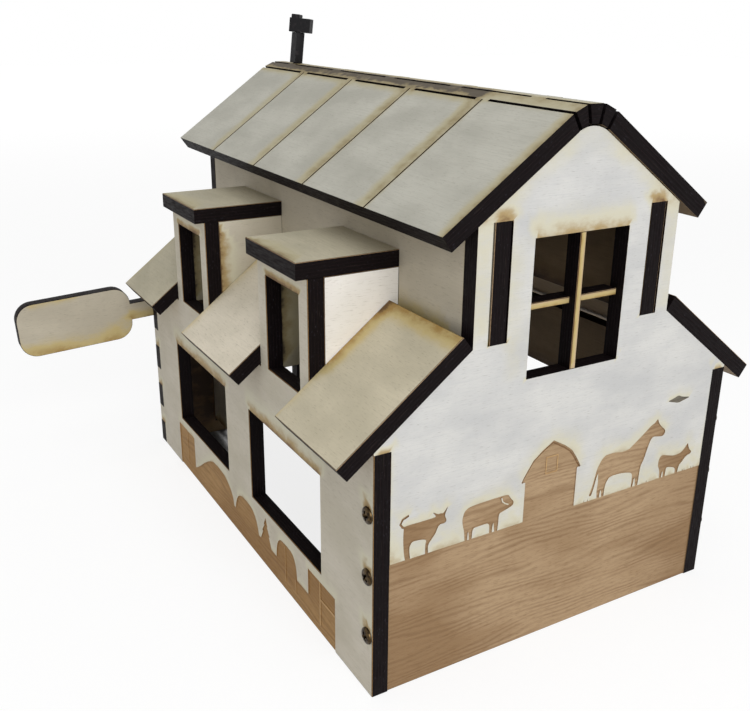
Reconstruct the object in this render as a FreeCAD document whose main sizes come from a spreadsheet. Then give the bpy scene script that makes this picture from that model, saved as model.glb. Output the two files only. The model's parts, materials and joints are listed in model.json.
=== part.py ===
"""Toy barn of laser cut plywood: walls, lean-to roofs, dormers, loft, bent roof, doors, sign and vane.

Frame: millimetres, +Z up from the table. The origin is in the middle of the front gable's foot, on its
outer face. +Y runs along the ridge to the rear gable, and the wall with the dormers is on the -X side.
"""
import FreeCAD, Part
import os
import re
import Sketcher

doc = FreeCAD.newDocument("ToyBarn")

# Driving sizes, each with what it measures
SIZES = [
    ("ply", 6.0, "thickness of the wall sheets"),
    ("roof_ply", 5.9, "thickness of the roof sheets"),
    ("barn_width", 148.0, "across the gable, over both side walls"),
    ("barn_length", 218.0, "over both gables"),
    ("wall_height", 86.5, "top of the side walls"),
    ("lean_seat", 87.3, "underside of a lean-to over the wall's outer face"),
    ("lean_angle", 37.6, "slope of the lean-to roofs, degrees"),
    ("lean_overhang", 12.5, "reach of a lean-to's top edge beyond the wall"),
    ("lean_end", 0.2, "reach of a lean-to beyond a gable"),
    ("loft_half", 40.2, "half the width of the raised loft"),
    ("rail_foot", 113.4, "underside of the loft rails"),
    ("rail_top", 151.2, "top of the loft rails"),
    ("mortise_play", 0.6, "play of a rail in its mortise, on each side"),
    ("board_foot", 112.0, "underside of the loft's outer boards"),
    ("board_top", 150.4, "top of the loft's outer boards"),
    ("roof_angle", 35.5, "slope of the upper roof, degrees"),
    ("roof_half", 52.8, "half the width over the upper roof's top edges"),
    ("roof_front", 0.8, "reach of the upper roof past the front gable"),
    ("roof_rear", 5.0, "reach of the upper roof past the rear gable"),
    ("roof_seat", 177.3, "underside of the ridge"),
    ("roof_rise", 2.4, "how much higher the ridge is at the rear gable"),
    ("roof_gap", 0.3, "play between the upper roof and what it sits on"),
    ("hinge_block", 3.8, "width of one strip of the bent ridge, on its underside"),
    ("strip_tilt", 24.5, "slope of the strips beside the ridge's middle one, degrees"),
    ("slit_width", 1.2, "width of a slit in the ridge"),
    ("slit_bridge", 7.0, "wood left between two slits of a row"),
    ("score_width", 0.8, "width of a scored board line"),
    ("score_depth", 0.6, "depth of a scored board line"),
    ("gable_round", 11.0, "radius of the gable's peak"),
    ("gable_window_width", 38.0, "loft window in the front gable"),
    ("gable_window_sill", 99.7, "its lower edge"),
    ("gable_window_head", 144.9, "its upper edge"),
    ("bar_width", 2.2, "face width of a window bar"),
    ("bar_height", 122.3, "middle of the level window bar"),
    ("ground_window_width", 61.0, "ground floor window"),
    ("ground_window_sill", 25.4, "its lower edge"),
    ("ground_window_head", 63.5, "its upper edge"),
    ("ground_window_offset", 43.0, "its middle from the middle of the wall"),
    ("stable_sill", 20.0, "lower edge of the right wall's opening"),
    ("stable_head", 58.0, "upper edge of the right wall's opening"),
    ("dormer_width", 40.0, "over the dormer's cheeks"),
    ("dormer_offset", 46.5, "its middle from the middle of the wall"),
    ("dormer_top", 129.0, "underside of the dormer roof"),
    ("dormer_window_width", 26.5, "window in a dormer front"),
    ("dormer_window_sill", 87.6, "its lower edge"),
    ("dormer_window_head", 122.3, "its upper edge"),
    ("dormer_overhang", 4.0, "reach of a dormer roof past its front"),
    ("finger_height", 11.5, "height of a finger of the rear corner joint"),
    ("finger_pitch", 20.5, "from one finger to the next"),
    ("finger_first", 5.0, "middle of the lowest finger"),
    ("doorway_half", 47.0, "half the width of the rear doorway"),
    ("doorway_sill", 6.0, "top of its threshold"),
    ("doorway_head", 72.0, "underside of its head"),
    ("door_gap", 0.5, "play beside a door leaf"),
    ("door_play", 0.8, "play over and under a door leaf"),
    ("pin_radius", 1.0, "door pivot pin"),
    ("pin_play", 0.05, "play of a pin in its bore, on the radius"),
    ("pin_reach", 7.0, "length of a pivot pin in the leaf"),
    ("pin_hold", 5.0, "length of a pivot pin in the gable"),
    ("screw_first", 22.0, "height of the lowest corner screw"),
    ("screw_pitch", 21.75, "from one corner screw to the next"),
    ("screw_head_radius", 2.8, "corner screw's head"),
    ("screw_head_height", 1.3, "corner screw's head"),
    ("screw_round", 0.9, "rounding of the head's rim"),
    ("screw_radius", 1.3, "corner screw's shank"),
    ("screw_length", 16.0, "corner screw under its head, without the tip"),
    ("screw_tip", 2.5, "length of the screw's tip"),
    ("screw_point", 0.16, "radius of the blunt end of the tip"),
    ("screw_hole_radius", 1.6, "clearance hole in the side wall"),
    ("sign_length", 53.0, "sign board without its arm"),
    ("sign_height", 25.6, "sign board"),
    ("sign_round", 8.0, "radius of the sign's corners"),
    ("sign_arm", 8.3, "height of the sign's arm"),
    ("sign_reach", 10.9, "arm between the board and the wall"),
    ("sign_tail", 20.0, "arm glued to the rear gable"),
    ("sign_middle", 71.0, "height of the arm's middle at the wall"),
    ("sign_droop", 3.0, "sag of the sign, degrees"),
    ("vane_place", 204.0, "vane from the front gable's face"),
    ("vane_lean", 6.0, "lean of the vane, degrees"),
    ("vane_post", 14.0, "height of the vane's post"),
    ("vane_post_width", 4.0, "post across the ridge"),
    ("vane_turn", 42.0, "how far the vane's long end is turned to the front, degrees"),
    ("vane_bar_short", 3.9, "cross bar of the vane, short end from the post's middle"),
    ("vane_bar_long", 6.1, "cross bar of the vane, long end from the post's middle"),
    ("vane_bar_height", 6.3, "cross bar of the vane"),
    ("vane_stub_inset", 0.8, "stub on the cross bar, from the bar's short end"),
    ("vane_stub_width", 3.8, "stub on the cross bar"),
    ("vane_stub_height", 1.6, "stub on the cross bar"),
    ("vane_pin_radius", 1.2, "pin that the vane turns on"),
    ("vane_pin_length", 3.6, "pin that the vane turns on"),
    ("vane_tenon_radius", 1.25, "tenon of the post in the ridge"),
    ("vane_tenon_length", 4.4, "tenon of the post in the ridge"),
    ("vane_rise", 0.25, "foot of the leaning post over the ridge"),
    ("vane_play", 0.1, "gap between the post and the turning head"),
]
BOARDS = 5
FINGERS = 4
SCREWS_PER_CORNER = 3

sheet = doc.addObject("Spreadsheet::Sheet", "Sizes")
for row, (alias, value, note) in enumerate(SIZES, start=1):
    sheet.set(f"A{row}", alias)
    sheet.set(f"B{row}", str(value))
    sheet.setAlias(f"B{row}", alias)
    sheet.set(f"C{row}", note)
doc.recompute()

ALIASES = "|".join(alias for alias, value, note in SIZES)
NEAR = 0.01
NODES = []


# Expressions are written with bare aliases and bound to the sheet by its name
def bound(expression):
    return re.sub(rf"\b({ALIASES})\b", r"Sizes.\1", expression)


def size(expression):
    return float(sheet.evalExpression(bound(expression)))


def bind(item, **properties):
    for name, expression in properties.items():
        item.setExpression(name, bound(expression))


def place(item, x="0", y="0", z="0", axis=(0, 0, 1), angle="0", frame=None):
    turn = FreeCAD.Rotation(FreeCAD.Vector(*axis), size(angle))
    spot = FreeCAD.Placement(FreeCAD.Vector(size(x), size(y), size(z)), turn)
    if frame:
        item.Placement = frame.multiply(spot)
        return item
    item.Placement = spot
    for letter, expression in (("x", x), ("y", y), ("z", z)):
        item.setExpression(f"Placement.Base.{letter}", bound(expression))
    if size(angle) != 0:
        item.setExpression("Placement.Rotation.Angle", bound(angle))
    return item


def node(item, label):
    item.Label = label
    NODES.append(item)
    return item


def box(name, length, width, height):
    item = doc.addObject("Part::Box", name)
    bind(item, Length=length, Width=width, Height=height)
    return item


def cylinder(name, radius, height):
    item = doc.addObject("Part::Cylinder", name)
    bind(item, Radius=radius, Height=height)
    return item


def joined(name, pieces):
    item = doc.addObject("Part::MultiFuse", name)
    item.Shapes = pieces
    return item


def cut(name, base, tools):
    item = doc.addObject("Part::Cut", name)
    item.Base = base
    item.Tool = tools[0] if len(tools) == 1 else joined(f"{name}_tools", tools)
    return item


# A flat panel is a sketch of its outline and holes, padded by the sheet's thickness
def pin_point(sketch, line, corner, x, y):
    for kind, expression, axis in (("DistanceX", x, -2), ("DistanceY", y, -1)):
        if size(expression) == 0:
            sketch.addConstraint(Sketcher.Constraint("PointOnObject", line, corner, axis))
            continue
        dimension = Sketcher.Constraint(kind, -1, 1, line, corner, size(expression))
        number = sketch.addConstraint(dimension)
        sketch.setExpression(f"Constraints[{number}]", bound(expression))


def draw_loop(sketch, corners):
    first = sketch.GeometryCount
    count = len(corners)
    spots = [FreeCAD.Vector(size(x), size(y), 0) for x, y in corners]
    for step in range(count):
        sketch.addGeometry(Part.LineSegment(spots[step], spots[(step + 1) % count]), False)
    for step in range(count):
        following = first + (step + 1) % count
        sketch.addConstraint(Sketcher.Constraint("Coincident", first + step, 2, following, 1))
    for step, (x, y) in enumerate(corners):
        pin_point(sketch, first + step, 1, x, y)


def draw_circle(sketch, x, y, radius):
    middle = FreeCAD.Vector(size(x), size(y), 0)
    line = sketch.addGeometry(Part.Circle(middle, FreeCAD.Vector(0, 0, 1), size(radius)), False)
    pin_point(sketch, line, 3, x, y)
    number = sketch.addConstraint(Sketcher.Constraint("Radius", line, size(radius)))
    sketch.setExpression(f"Constraints[{number}]", bound(radius))


def panel(name, outline, holes=(), circles=(), thickness="ply"):
    body = doc.addObject("PartDesign::Body", name)
    sketch = body.newObject("Sketcher::SketchObject", f"{name}_outline")
    plane = [part for part in body.Origin.OriginFeatures if part.Role == "XY_Plane"][0]
    sketch.AttachmentSupport = (plane, [""])
    sketch.MapMode = "FlatFace"
    for corners in (outline, *holes):
        draw_loop(sketch, corners)
    for x, y, radius in circles:
        draw_circle(sketch, x, y, radius)
    pad = body.newObject("PartDesign::Pad", f"{name}_pad")
    pad.Profile = sketch
    bind(pad, Length=thickness)
    doc.recompute()
    return body


def round_corners(body, corners, radius):
    """Round the panel's edges that stand on the given corners of its outline."""
    tip = body.Tip
    picked = []
    for number, edge in enumerate(tip.Shape.Edges, start=1):
        start, end = edge.Vertexes[0].Point, edge.Vertexes[-1].Point
        upright = abs(start.z - end.z) > size("ply") / 2
        for x, y in corners:
            if upright and abs(start.x - size(x)) < NEAR and abs(start.y - size(y)) < NEAR:
                picked.append(f"Edge{number}")
    fillet = body.newObject("PartDesign::Fillet", f"{body.Name}_round")
    fillet.Base = (tip, picked)
    bind(fillet, Radius=radius)
    doc.recompute()


def rectangle(x0, x1, y0, y1):
    return [(x0, y0), (x1, y0), (x1, y1), (x0, y1)]


def stand_across(body, x, y, z="0", frame=None):
    """Stand a panel drawn flat across the barn, its thickness running back to the front."""
    return place(body, x, y, z, axis=(1, 0, 0), angle="90", frame=frame)


def stand_along(body, x):
    """Stand a panel drawn flat along the barn, its thickness running to +X."""
    return place(body, x, axis=(1, 1, 1), angle="120")


# Heights and places that several pieces share
REAR_MIDDLE = "(barn_length - ply / 2)"
LEAN_RISE = "tan(lean_angle) * (barn_width / 2 - loft_half)"
LOFT_FOOT = f"(lean_seat + {LEAN_RISE})"
BEND_OUT = "(hinge_block / 2 + hinge_block * cos(strip_tilt))"
BEND_DOWN = "(hinge_block * sin(strip_tilt))"
PEAK = f"(roof_seat - {BEND_DOWN} + {BEND_OUT} * tan(roof_angle) - roof_gap / cos(roof_angle))"
LOFT_EAVE = f"({PEAK} - loft_half * tan(roof_angle))"
MIDDLE = "(barn_width / 2)"
RIDGE_TOP = "(roof_seat + roof_ply)"


def finger_spans():
    """Lower and upper edge of each finger of the rear corners, the lowest cut off at the table."""
    spans = []
    for step in range(FINGERS):
        middle = f"(finger_first + {step} * finger_pitch)"
        low = "0" if step == 0 else f"({middle} - finger_height / 2)"
        spans.append((low, f"({middle} + finger_height / 2)"))
    return spans


# Gables
def gable_top(rise):
    """The gable's outline above the walls, from its right ear over the peak to its left ear."""
    return [
        ("barn_width - ply", "wall_height"),
        ("barn_width", "wall_height"),
        ("barn_width", "lean_seat"),
        (f"{MIDDLE} + loft_half", LOFT_FOOT),
        (f"{MIDDLE} + loft_half", f"{LOFT_EAVE} + {rise}"),
        (MIDDLE, f"{PEAK} + {rise}"),
        (f"{MIDDLE} - loft_half", f"{LOFT_EAVE} + {rise}"),
        (f"{MIDDLE} - loft_half", LOFT_FOOT),
        ("0", "lean_seat"),
        ("0", "wall_height"),
        ("ply", "wall_height"),
    ]


def rail_mortises():
    outer = "(loft_half - ply + mortise_play)"
    inner = "(loft_half - 2 * ply - mortise_play)"
    left = rectangle(f"{MIDDLE} - {outer}", f"{MIDDLE} - {inner}", "rail_foot", "rail_top")
    right = rectangle(f"{MIDDLE} + {inner}", f"{MIDDLE} + {outer}", "rail_foot", "rail_top")
    return [left, right]


def screw_height(step):
    return f"(screw_first + {step} * screw_pitch)"


def front_gable():
    outline = [("ply", "0"), ("barn_width - ply", "0")] + gable_top("0")
    half = "(gable_window_width / 2)"
    window = rectangle(
        f"{MIDDLE} - {half}", f"{MIDDLE} + {half}", "gable_window_sill", "gable_window_head"
    )
    body = panel("front_gable_panel", outline, [window] + rail_mortises())
    round_corners(body, [(MIDDLE, PEAK)], "gable_round")
    stand_across(body, "-barn_width / 2", "ply")
    pilots = []
    reach = "(screw_length + screw_tip)"
    for side, start in (("left", "-barn_width / 2"), ("right", f"barn_width / 2 - {reach}")):
        for step in range(SCREWS_PER_CORNER):
            pilot = cylinder(f"{side}_pilot_{step}", "screw_radius", reach)
            place(pilot, start, "ply / 2", screw_height(step), axis=(0, 1, 0), angle="90")
            pilots.append(pilot)
    node(cut("front_gable", body, pilots), "front_gable")


def rear_gable():
    right_edge = []
    for low, high in finger_spans():
        right_edge += [("barn_width - ply", low), ("barn_width", low)]
        right_edge += [("barn_width", high), ("barn_width - ply", high)]
    left_edge = []
    for low, high in reversed(finger_spans()):
        left_edge += [("ply", high), ("0", high), ("0", low), ("ply", low)]
    outline = right_edge[1:] + gable_top("roof_rise") + left_edge[:-1]
    doorway = rectangle(
        f"{MIDDLE} - doorway_half", f"{MIDDLE} + doorway_half", "doorway_sill", "doorway_head"
    )
    body = panel("rear_gable_panel", outline, [doorway] + rail_mortises())
    round_corners(body, [(MIDDLE, f"{PEAK} + roof_rise")], "gable_round")
    stand_across(body, "-barn_width / 2", "barn_length")
    bores = []
    for side in ("-", ""):
        for level, start in (("low", "doorway_sill - pin_hold"), ("high", "doorway_head")):
            bore = cylinder(f"{'left' if side else 'right'}_{level}_socket", "pin_radius", "pin_hold")
            bores.append(place(bore, f"{side}{DOOR_PIVOT}", REAR_MIDDLE, start))
    node(cut("rear_gable", body, bores), "rear_gable")


# Side walls
def wall_outline(top):
    """A side wall's outline, notched at its rear end for the gable's fingers."""
    corners = [("0", "0"), ("barn_length - ply", "0")]
    for step, (low, high) in enumerate(finger_spans()):
        if step > 0:
            corners += [("barn_length", low), ("barn_length - ply", low)]
        corners += [("barn_length - ply", high), ("barn_length", high)]
    return corners + [("barn_length", "wall_height")] + top + [("0", "wall_height")]


def span(middle, width):
    return f"(barn_length / 2 {middle} - {width} / 2)", f"(barn_length / 2 {middle} + {width} / 2)"


def corner_holes():
    return [("ply / 2", screw_height(step), "screw_hole_radius") for step in range(SCREWS_PER_CORNER)]


def left_side_wall():
    top = []
    holes = []
    for side in ("+ dormer_offset", "- dormer_offset"):
        near, far = span(side, "dormer_width")
        top += [(far, "wall_height"), (far, "dormer_top"), (near, "dormer_top"), (near, "wall_height")]
        near, far = span(side, "dormer_window_width")
        holes.append(rectangle(near, far, "dormer_window_sill", "dormer_window_head"))
    for side in ("+ ground_window_offset", "- ground_window_offset"):
        near, far = span(side, "ground_window_width")
        holes.append(rectangle(near, far, "ground_window_sill", "ground_window_head"))
    body = panel("left_side_wall", wall_outline(top), holes, corner_holes())
    node(stand_along(body, "-barn_width / 2"), "left_side_wall")


def right_side_wall():
    near, far = span("", "ground_window_width")
    opening = rectangle(near, far, "stable_sill", "stable_head")
    body = panel("right_side_wall", wall_outline([]), [opening], corner_holes())
    node(stand_along(body, "barn_width / 2 - ply"), "right_side_wall")


# Loft: a tenoned rail on each side, and the outer board glued to it
def loft_sides():
    for side, rail, board in (
        ("left", "-loft_half + ply", "-loft_half"),
        ("right", "loft_half - 2 * ply", "loft_half - ply"),
    ):
        item = box(f"{side}_loft_rail", "ply", "barn_length", "rail_top - rail_foot")
        node(place(item, rail, z="rail_foot"), f"{side}_loft_rail")
        item = box(f"{side}_loft_board", "ply", "barn_length - 2 * ply", "board_top - board_foot")
        node(place(item, board, "ply", "board_foot"), f"{side}_loft_board")


# Lean-to roofs
EAVE_OUT = "(barn_width / 2 + lean_overhang - roof_ply * sin(lean_angle))"
EAVE_HEIGHT = f"(lean_seat - ({EAVE_OUT} - barn_width / 2) * tan(lean_angle))"
LEAN_LENGTH = f"(({EAVE_OUT} - loft_half) / cos(lean_angle))"


def lean_to_roofs():
    near_dormer = span("- dormer_offset", "dormer_width")
    far_dormer = span("+ dormer_offset", "dormer_width")
    stretches = [
        ("front", "-lean_end", near_dormer[0]),
        ("middle", near_dormer[1], far_dormer[0]),
        ("rear", far_dormer[1], "barn_length + lean_end"),
    ]
    for name, start, end in stretches:
        item = box(f"left_lean_to_{name}", LEAN_LENGTH, f"{end} - ({start})", "roof_ply")
        place(item, f"-{EAVE_OUT}", start, EAVE_HEIGHT, axis=(0, -1, 0), angle="lean_angle")
        node(item, f"left_lean_to_{name}")
    item = box("right_lean_to", LEAN_LENGTH, "barn_length + 2 * lean_end", "roof_ply")
    place(item, "loft_half", "-lean_end", LOFT_FOOT, axis=(0, 1, 0), angle="lean_angle")
    node(item, "right_lean_to")


# Dormers: the wall carries their fronts, so each has two cheeks and a flat roof
def dormers():
    for name, side in (("front", "- dormer_offset"), ("rear", "+ dormer_offset")):
        near, far = span(side, "dormer_width")
        depth = "barn_width / 2 - ply - loft_half"
        for place_name, start in (("near", near), ("far", f"{far} - ply")):
            cheek = box(f"{name}_dormer_{place_name}_cheek", depth, "ply", "dormer_top - wall_height")
            place(cheek, "-barn_width / 2 + ply", start, "wall_height")
            node(cheek, f"{name}_dormer_{place_name}_cheek")
        depth = "barn_width / 2 - loft_half + dormer_overhang"
        roof = box(f"{name}_dormer_roof", depth, "dormer_width", "roof_ply")
        place(roof, "-barn_width / 2 - dormer_overhang", near, "dormer_top")
        node(roof, f"{name}_dormer_roof")


# Loft window bars: the level bar is let into the back half of the upright bar
def window_bars():
    level = box("window_bar_level", "gable_window_width", "ply", "bar_width")
    place(level, "-gable_window_width / 2", "ply / 2", "bar_height - bar_width / 2")
    upright = box("window_bar_blank", "bar_width", "ply", "gable_window_head - gable_window_sill")
    place(upright, "-bar_width / 2", z="gable_window_sill")
    notch = box("window_bar_notch", "bar_width", "ply", "bar_width")
    place(notch, "-bar_width / 2", "ply / 2", "bar_height - bar_width / 2")
    node(level, "window_bar_level")
    node(cut("window_bar_upright", upright, [notch]), "window_bar_upright")


# Upper roof: one sheet bent over the ridge along four rows of slits
INNER_BEND = "(strip_tilt / 2)"
OUTER_BEND = "((roof_angle - strip_tilt) / 2)"
TOP_BLOCK = f"(hinge_block + 2 * roof_ply * tan({INNER_BEND}))"
TOP_SIDE = f"(hinge_block + roof_ply * (tan({INNER_BEND}) + tan({OUTER_BEND})))"
TOP_BEND_OUT = f"({TOP_BLOCK} / 2 + {TOP_SIDE} * cos(strip_tilt))"
TOP_BEND_HEIGHT = f"({RIDGE_TOP} - {TOP_SIDE} * sin(strip_tilt))"
TOP_EAVE = f"({TOP_BEND_HEIGHT} - (roof_half - {TOP_BEND_OUT}) * tan(roof_angle))"
UNDER_EAVE = f"({TOP_EAVE} - roof_ply * cos(roof_angle))"
ROOF_LENGTH = "(barn_length + roof_front + roof_rear)"
BOARD = f"({ROOF_LENGTH} / {BOARDS})"

# A cut through the ridge starts under the sheet and ends over it
CUT_START = "ply"
CUT_LENGTH = f"(3 * {CUT_START})"

# The sheet sits a little higher at the rear, turned about the front gable's peak
ROOF_TILT = FreeCAD.Placement(
    FreeCAD.Vector(0, 0, 0),
    FreeCAD.Rotation(FreeCAD.Vector(1, 0, 0), size("atan(roof_rise / (barn_length - ply))")),
    FreeCAD.Vector(0, size("ply / 2"), size("roof_seat")),
)


def roof_blank():
    upper = [
        ("roof_half", TOP_EAVE),
        (TOP_BEND_OUT, TOP_BEND_HEIGHT),
        (f"{TOP_BLOCK} / 2", RIDGE_TOP),
    ]
    lower = [
        ("hinge_block / 2", "roof_seat"),
        (BEND_OUT, f"roof_seat - {BEND_DOWN}"),
        ("roof_half - roof_ply * sin(roof_angle)", UNDER_EAVE),
    ]

    def drawn(points, sign):
        return [(f"roof_half {sign} ({x})", f"{z} - {UNDER_EAVE}") for x, z in points]

    outline = drawn(upper, "+") + drawn(upper[::-1], "-") + drawn(lower[::-1], "-") + drawn(lower, "+")
    body = panel("upper_roof_sheet", outline, thickness=ROOF_LENGTH)
    return stand_across(body, "-roof_half", "barn_length + roof_rear", UNDER_EAVE, ROOF_TILT)


def slit_spans(shift):
    """Where the slits of a row run: bridges at the board lines, or halfway between them."""
    spans = []
    for step in range(BOARDS + (1 if shift else 0)):
        low = f"({step} - {shift}) * {BOARD} + slit_bridge / 2"
        high = f"({step} + 1 - {shift}) * {BOARD} - slit_bridge / 2"
        if step == 0:
            low = "-ply"
        if step == BOARDS - (0 if shift else 1):
            high = f"{ROOF_LENGTH} + ply"
        spans.append((low, high))
    return spans


def ridge_slits():
    rows = [
        ("inner", "hinge_block / 2", "roof_seat", INNER_BEND, 0.5),
        ("outer", BEND_OUT, f"roof_seat - {BEND_DOWN}", f"strip_tilt + {OUTER_BEND}", 0),
    ]
    slits = []
    for row, out, height, tilt, shift in rows:
        for side, sign in (("left", -1), ("right", 1)):
            for step, (low, high) in enumerate(slit_spans(shift)):
                slit = box(f"{side}_{row}_slit_{step}", "slit_width", f"{high} - ({low})", CUT_LENGTH)
                corner_x = f"{sign} * ({out} - {CUT_START} * sin({tilt})) - slit_width / 2 * cos({tilt})"
                corner_z = f"{height} - {CUT_START} * cos({tilt}) + {sign} * slit_width / 2 * sin({tilt})"
                start = f"{low} - roof_front"
                place(slit, corner_x, start, corner_z, (0, sign, 0), tilt, ROOF_TILT)
                slits.append(slit)
    return slits


def board_scores():
    scores = []
    slope = f"(roof_half - {TOP_BEND_OUT}) / cos(roof_angle)"
    for step in range(1, BOARDS):
        for side, axis, x, z in (
            ("left", (0, -1, 0), "-roof_half", TOP_EAVE),
            ("right", (0, 1, 0), TOP_BEND_OUT, TOP_BEND_HEIGHT),
        ):
            sign = -1 if side == "left" else 1
            score = box(f"{side}_score_{step}", slope, "score_width", "2 * score_depth")
            sunk_x = f"{x} - {sign} * score_depth * sin(roof_angle)"
            sunk_z = f"{z} - score_depth * cos(roof_angle)"
            line = f"{step} * {BOARD} - roof_front - score_width / 2"
            scores.append(place(score, sunk_x, line, sunk_z, axis, "roof_angle", ROOF_TILT))
    return scores


def upper_roof():
    socket = on_vane(cylinder("vane_socket", "vane_tenon_radius", CUT_LENGTH), f"-{CUT_LENGTH} / 2")
    sheet_with_ridge = cut("upper_roof_slit", roof_blank(), ridge_slits())
    node(cut("upper_roof", sheet_with_ridge, board_scores() + [socket]), "upper_roof")


# Vane: a leaning post with a tenon in the ridge and a head that turns on its pin
def on_vane(item, along):
    """Stand a piece on the vane's leaning axis, at a height measured along it."""
    return place(
        item, f"({along}) * sin(vane_lean)", "vane_place", f"{RIDGE_TOP} + ({along}) * cos(vane_lean)",
        (0, 1, 0), "vane_lean", ROOF_TILT,
    )


def vane_post():
    shaft = box("vane_shaft", "vane_post_width", "ply", "vane_post - vane_rise")
    half = "vane_post_width / 2"
    place(
        shaft,
        f"vane_rise * sin(vane_lean) - {half} * cos(vane_lean)",
        "vane_place - ply / 2",
        f"{RIDGE_TOP} + vane_rise * cos(vane_lean) + {half} * sin(vane_lean)",
        (0, 1, 0), "vane_lean", ROOF_TILT,
    )
    tenon = cylinder("vane_tenon", "vane_tenon_radius", "vane_rise + vane_tenon_length")
    on_vane(tenon, "-vane_tenon_length")
    pin = on_vane(cylinder("vane_pin", "vane_pin_radius", "vane_pin_length"), "vane_post")
    node(joined("vane_post", [shaft, tenon, pin]), "vane_post")


def vane_head():
    bar, stub = "(vane_bar_short + vane_bar_long)", "(vane_stub_inset + vane_stub_width)"
    top = "(vane_bar_height + vane_stub_height)"
    outline = [
        ("0", "0"), (bar, "0"), (bar, "vane_bar_height"), (stub, "vane_bar_height"), (stub, top),
        ("vane_stub_inset", top), ("vane_stub_inset", "vane_bar_height"), ("0", "vane_bar_height"),
    ]
    body = panel("vane_cross", outline)
    upright = FreeCAD.Rotation(FreeCAD.Vector(1, 0, 0), 90)
    turn = FreeCAD.Rotation(FreeCAD.Vector(0, 0, -1), size("vane_turn"))
    lean = FreeCAD.Rotation(FreeCAD.Vector(0, 1, 0), size("vane_lean"))
    turned = lean.multiply(turn)
    foot = FreeCAD.Vector(-size("vane_bar_short"), size("ply / 2"), size("vane_post + vane_play"))
    ridge = FreeCAD.Vector(0, size("vane_place"), size(RIDGE_TOP))
    level = FreeCAD.Placement(ridge + turned.multVec(foot), turned.multiply(upright))
    body.Placement = ROOF_TILT.multiply(level)
    bore = cylinder("vane_bore", "vane_pin_radius + pin_play", "vane_pin_length + ply / 2")
    on_vane(bore, "vane_post - ply / 4")
    node(cut("vane_head", body, [bore]), "vane_head")


# Sign: a bare board on an arm that is glued across the rear gable
def sign_board():
    low = "(sign_height - sign_arm) / 2"
    high = "(sign_height + sign_arm) / 2"
    end = "(sign_length + sign_reach + sign_tail)"
    outline = [
        ("0", "0"), ("sign_length", "0"), ("sign_length", low), (end, low),
        (end, high), ("sign_length", high), ("sign_length", "sign_height"), ("0", "sign_height"),
    ]
    body = panel("sign_board", outline)
    corners = rectangle("0", "sign_length", "0", "sign_height")
    round_corners(body, corners, "sign_round")
    upright = FreeCAD.Rotation(FreeCAD.Vector(1, 0, 0), 90)
    droop = FreeCAD.Rotation(FreeCAD.Vector(0, -1, 0), size("sign_droop"))
    turn = droop.multiply(upright)
    held = FreeCAD.Vector(size("sign_length + sign_reach"), size("sign_height / 2"), 0)
    wall = FreeCAD.Vector(size("-barn_width / 2"), size("barn_length + ply"), size("sign_middle"))
    body.Placement = FreeCAD.Placement(wall - turn.multVec(held), turn)
    node(body, "sign_board")


# Doors: two leaves in the rear gable, each turning on a pin in the threshold and one in the head
DOOR_PIVOT = "(doorway_half - door_gap - ply / 2)"
DOOR_REACH = f"({DOOR_PIVOT} - door_gap)"
DOOR_LOW = "(doorway_sill + door_play)"
DOOR_HIGH = "(doorway_head - door_play)"


def door_leaf(name, pivot_x, open_inward):
    tall = f"{DOOR_HIGH} - {DOOR_LOW}"
    hinge_edge = place(cylinder(f"{name}_edge", "ply / 2", tall), pivot_x, REAR_MIDDLE, DOOR_LOW)
    if open_inward:
        board = box(f"{name}_board", "ply", DOOR_REACH, tall)
        place(board, f"{pivot_x} - ply / 2", f"{REAR_MIDDLE} - {DOOR_REACH}", DOOR_LOW)
    else:
        board = box(f"{name}_board", DOOR_REACH, "ply", tall)
        place(board, f"{pivot_x} - {DOOR_REACH}", f"{REAR_MIDDLE} - ply / 2", DOOR_LOW)
    bores = []
    for level, start in (("low", f"{DOOR_LOW} - pin_reach"), ("high", f"{DOOR_HIGH} - pin_reach")):
        bore = cylinder(f"{name}_{level}_bore", "pin_radius + pin_play", "2 * pin_reach")
        bores.append(place(bore, pivot_x, REAR_MIDDLE, start))
    node(cut(name, joined(f"{name}_leaf", [hinge_edge, board]), bores), name)


def door_pins():
    pins = []
    for side in ("-", ""):
        for level, start in (
            ("low", "doorway_sill - pin_hold"),
            ("high", f"{DOOR_HIGH} - pin_reach + door_play"),
        ):
            length = "pin_hold + pin_reach"
            pin = cylinder(f"{'left' if side else 'right'}_{level}_pin", "pin_radius", length)
            pins.append(place(pin, f"{side}{DOOR_PIVOT}", REAR_MIDDLE, start))
    group = doc.addObject("Part::Compound", "door_pins")
    group.Links = pins
    node(group, "door_pins")


# Corner screws
def corner_screw(name, x, height, axis):
    """A wood screw driven in along X from the wall's outer face."""
    sign = axis[1]
    outer = f"{x} - {sign} * screw_head_height"
    head = cylinder(f"{name}_head_blank", "screw_head_radius", "screw_head_height")
    place(head, outer, "ply / 2", height, axis, "90")
    doc.recompute()
    dome = doc.addObject("Part::Fillet", f"{name}_head")
    dome.Base = head
    for number, edge in enumerate(head.Shape.Edges, start=1):
        bounds = edge.BoundBox
        if abs(bounds.XMin - size(outer)) < NEAR and bounds.XLength < NEAR:
            dome.Edges = [(number, size("screw_round"), size("screw_round"))]
    shank = cylinder(f"{name}_shank", "screw_radius", "screw_length")
    place(shank, x, "ply / 2", height, axis, "90")
    tip = doc.addObject("Part::Cone", f"{name}_tip")
    bind(tip, Radius1="screw_radius", Radius2="screw_point", Height="screw_tip")
    place(tip, f"{x} + {sign} * screw_length", "ply / 2", height, axis, "90")
    return joined(name, [dome, shank, tip])


def corner_screws():
    screws = []
    sides = (("left", "-barn_width / 2", (0, 1, 0)), ("right", "barn_width / 2", (0, -1, 0)))
    for side, x, axis in sides:
        for step in range(SCREWS_PER_CORNER):
            screws.append(corner_screw(f"{side}_screw_{step}", x, screw_height(step), axis))
    group = doc.addObject("Part::Compound", "corner_screws")
    group.Links = screws
    node(group, "corner_screws")


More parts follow.
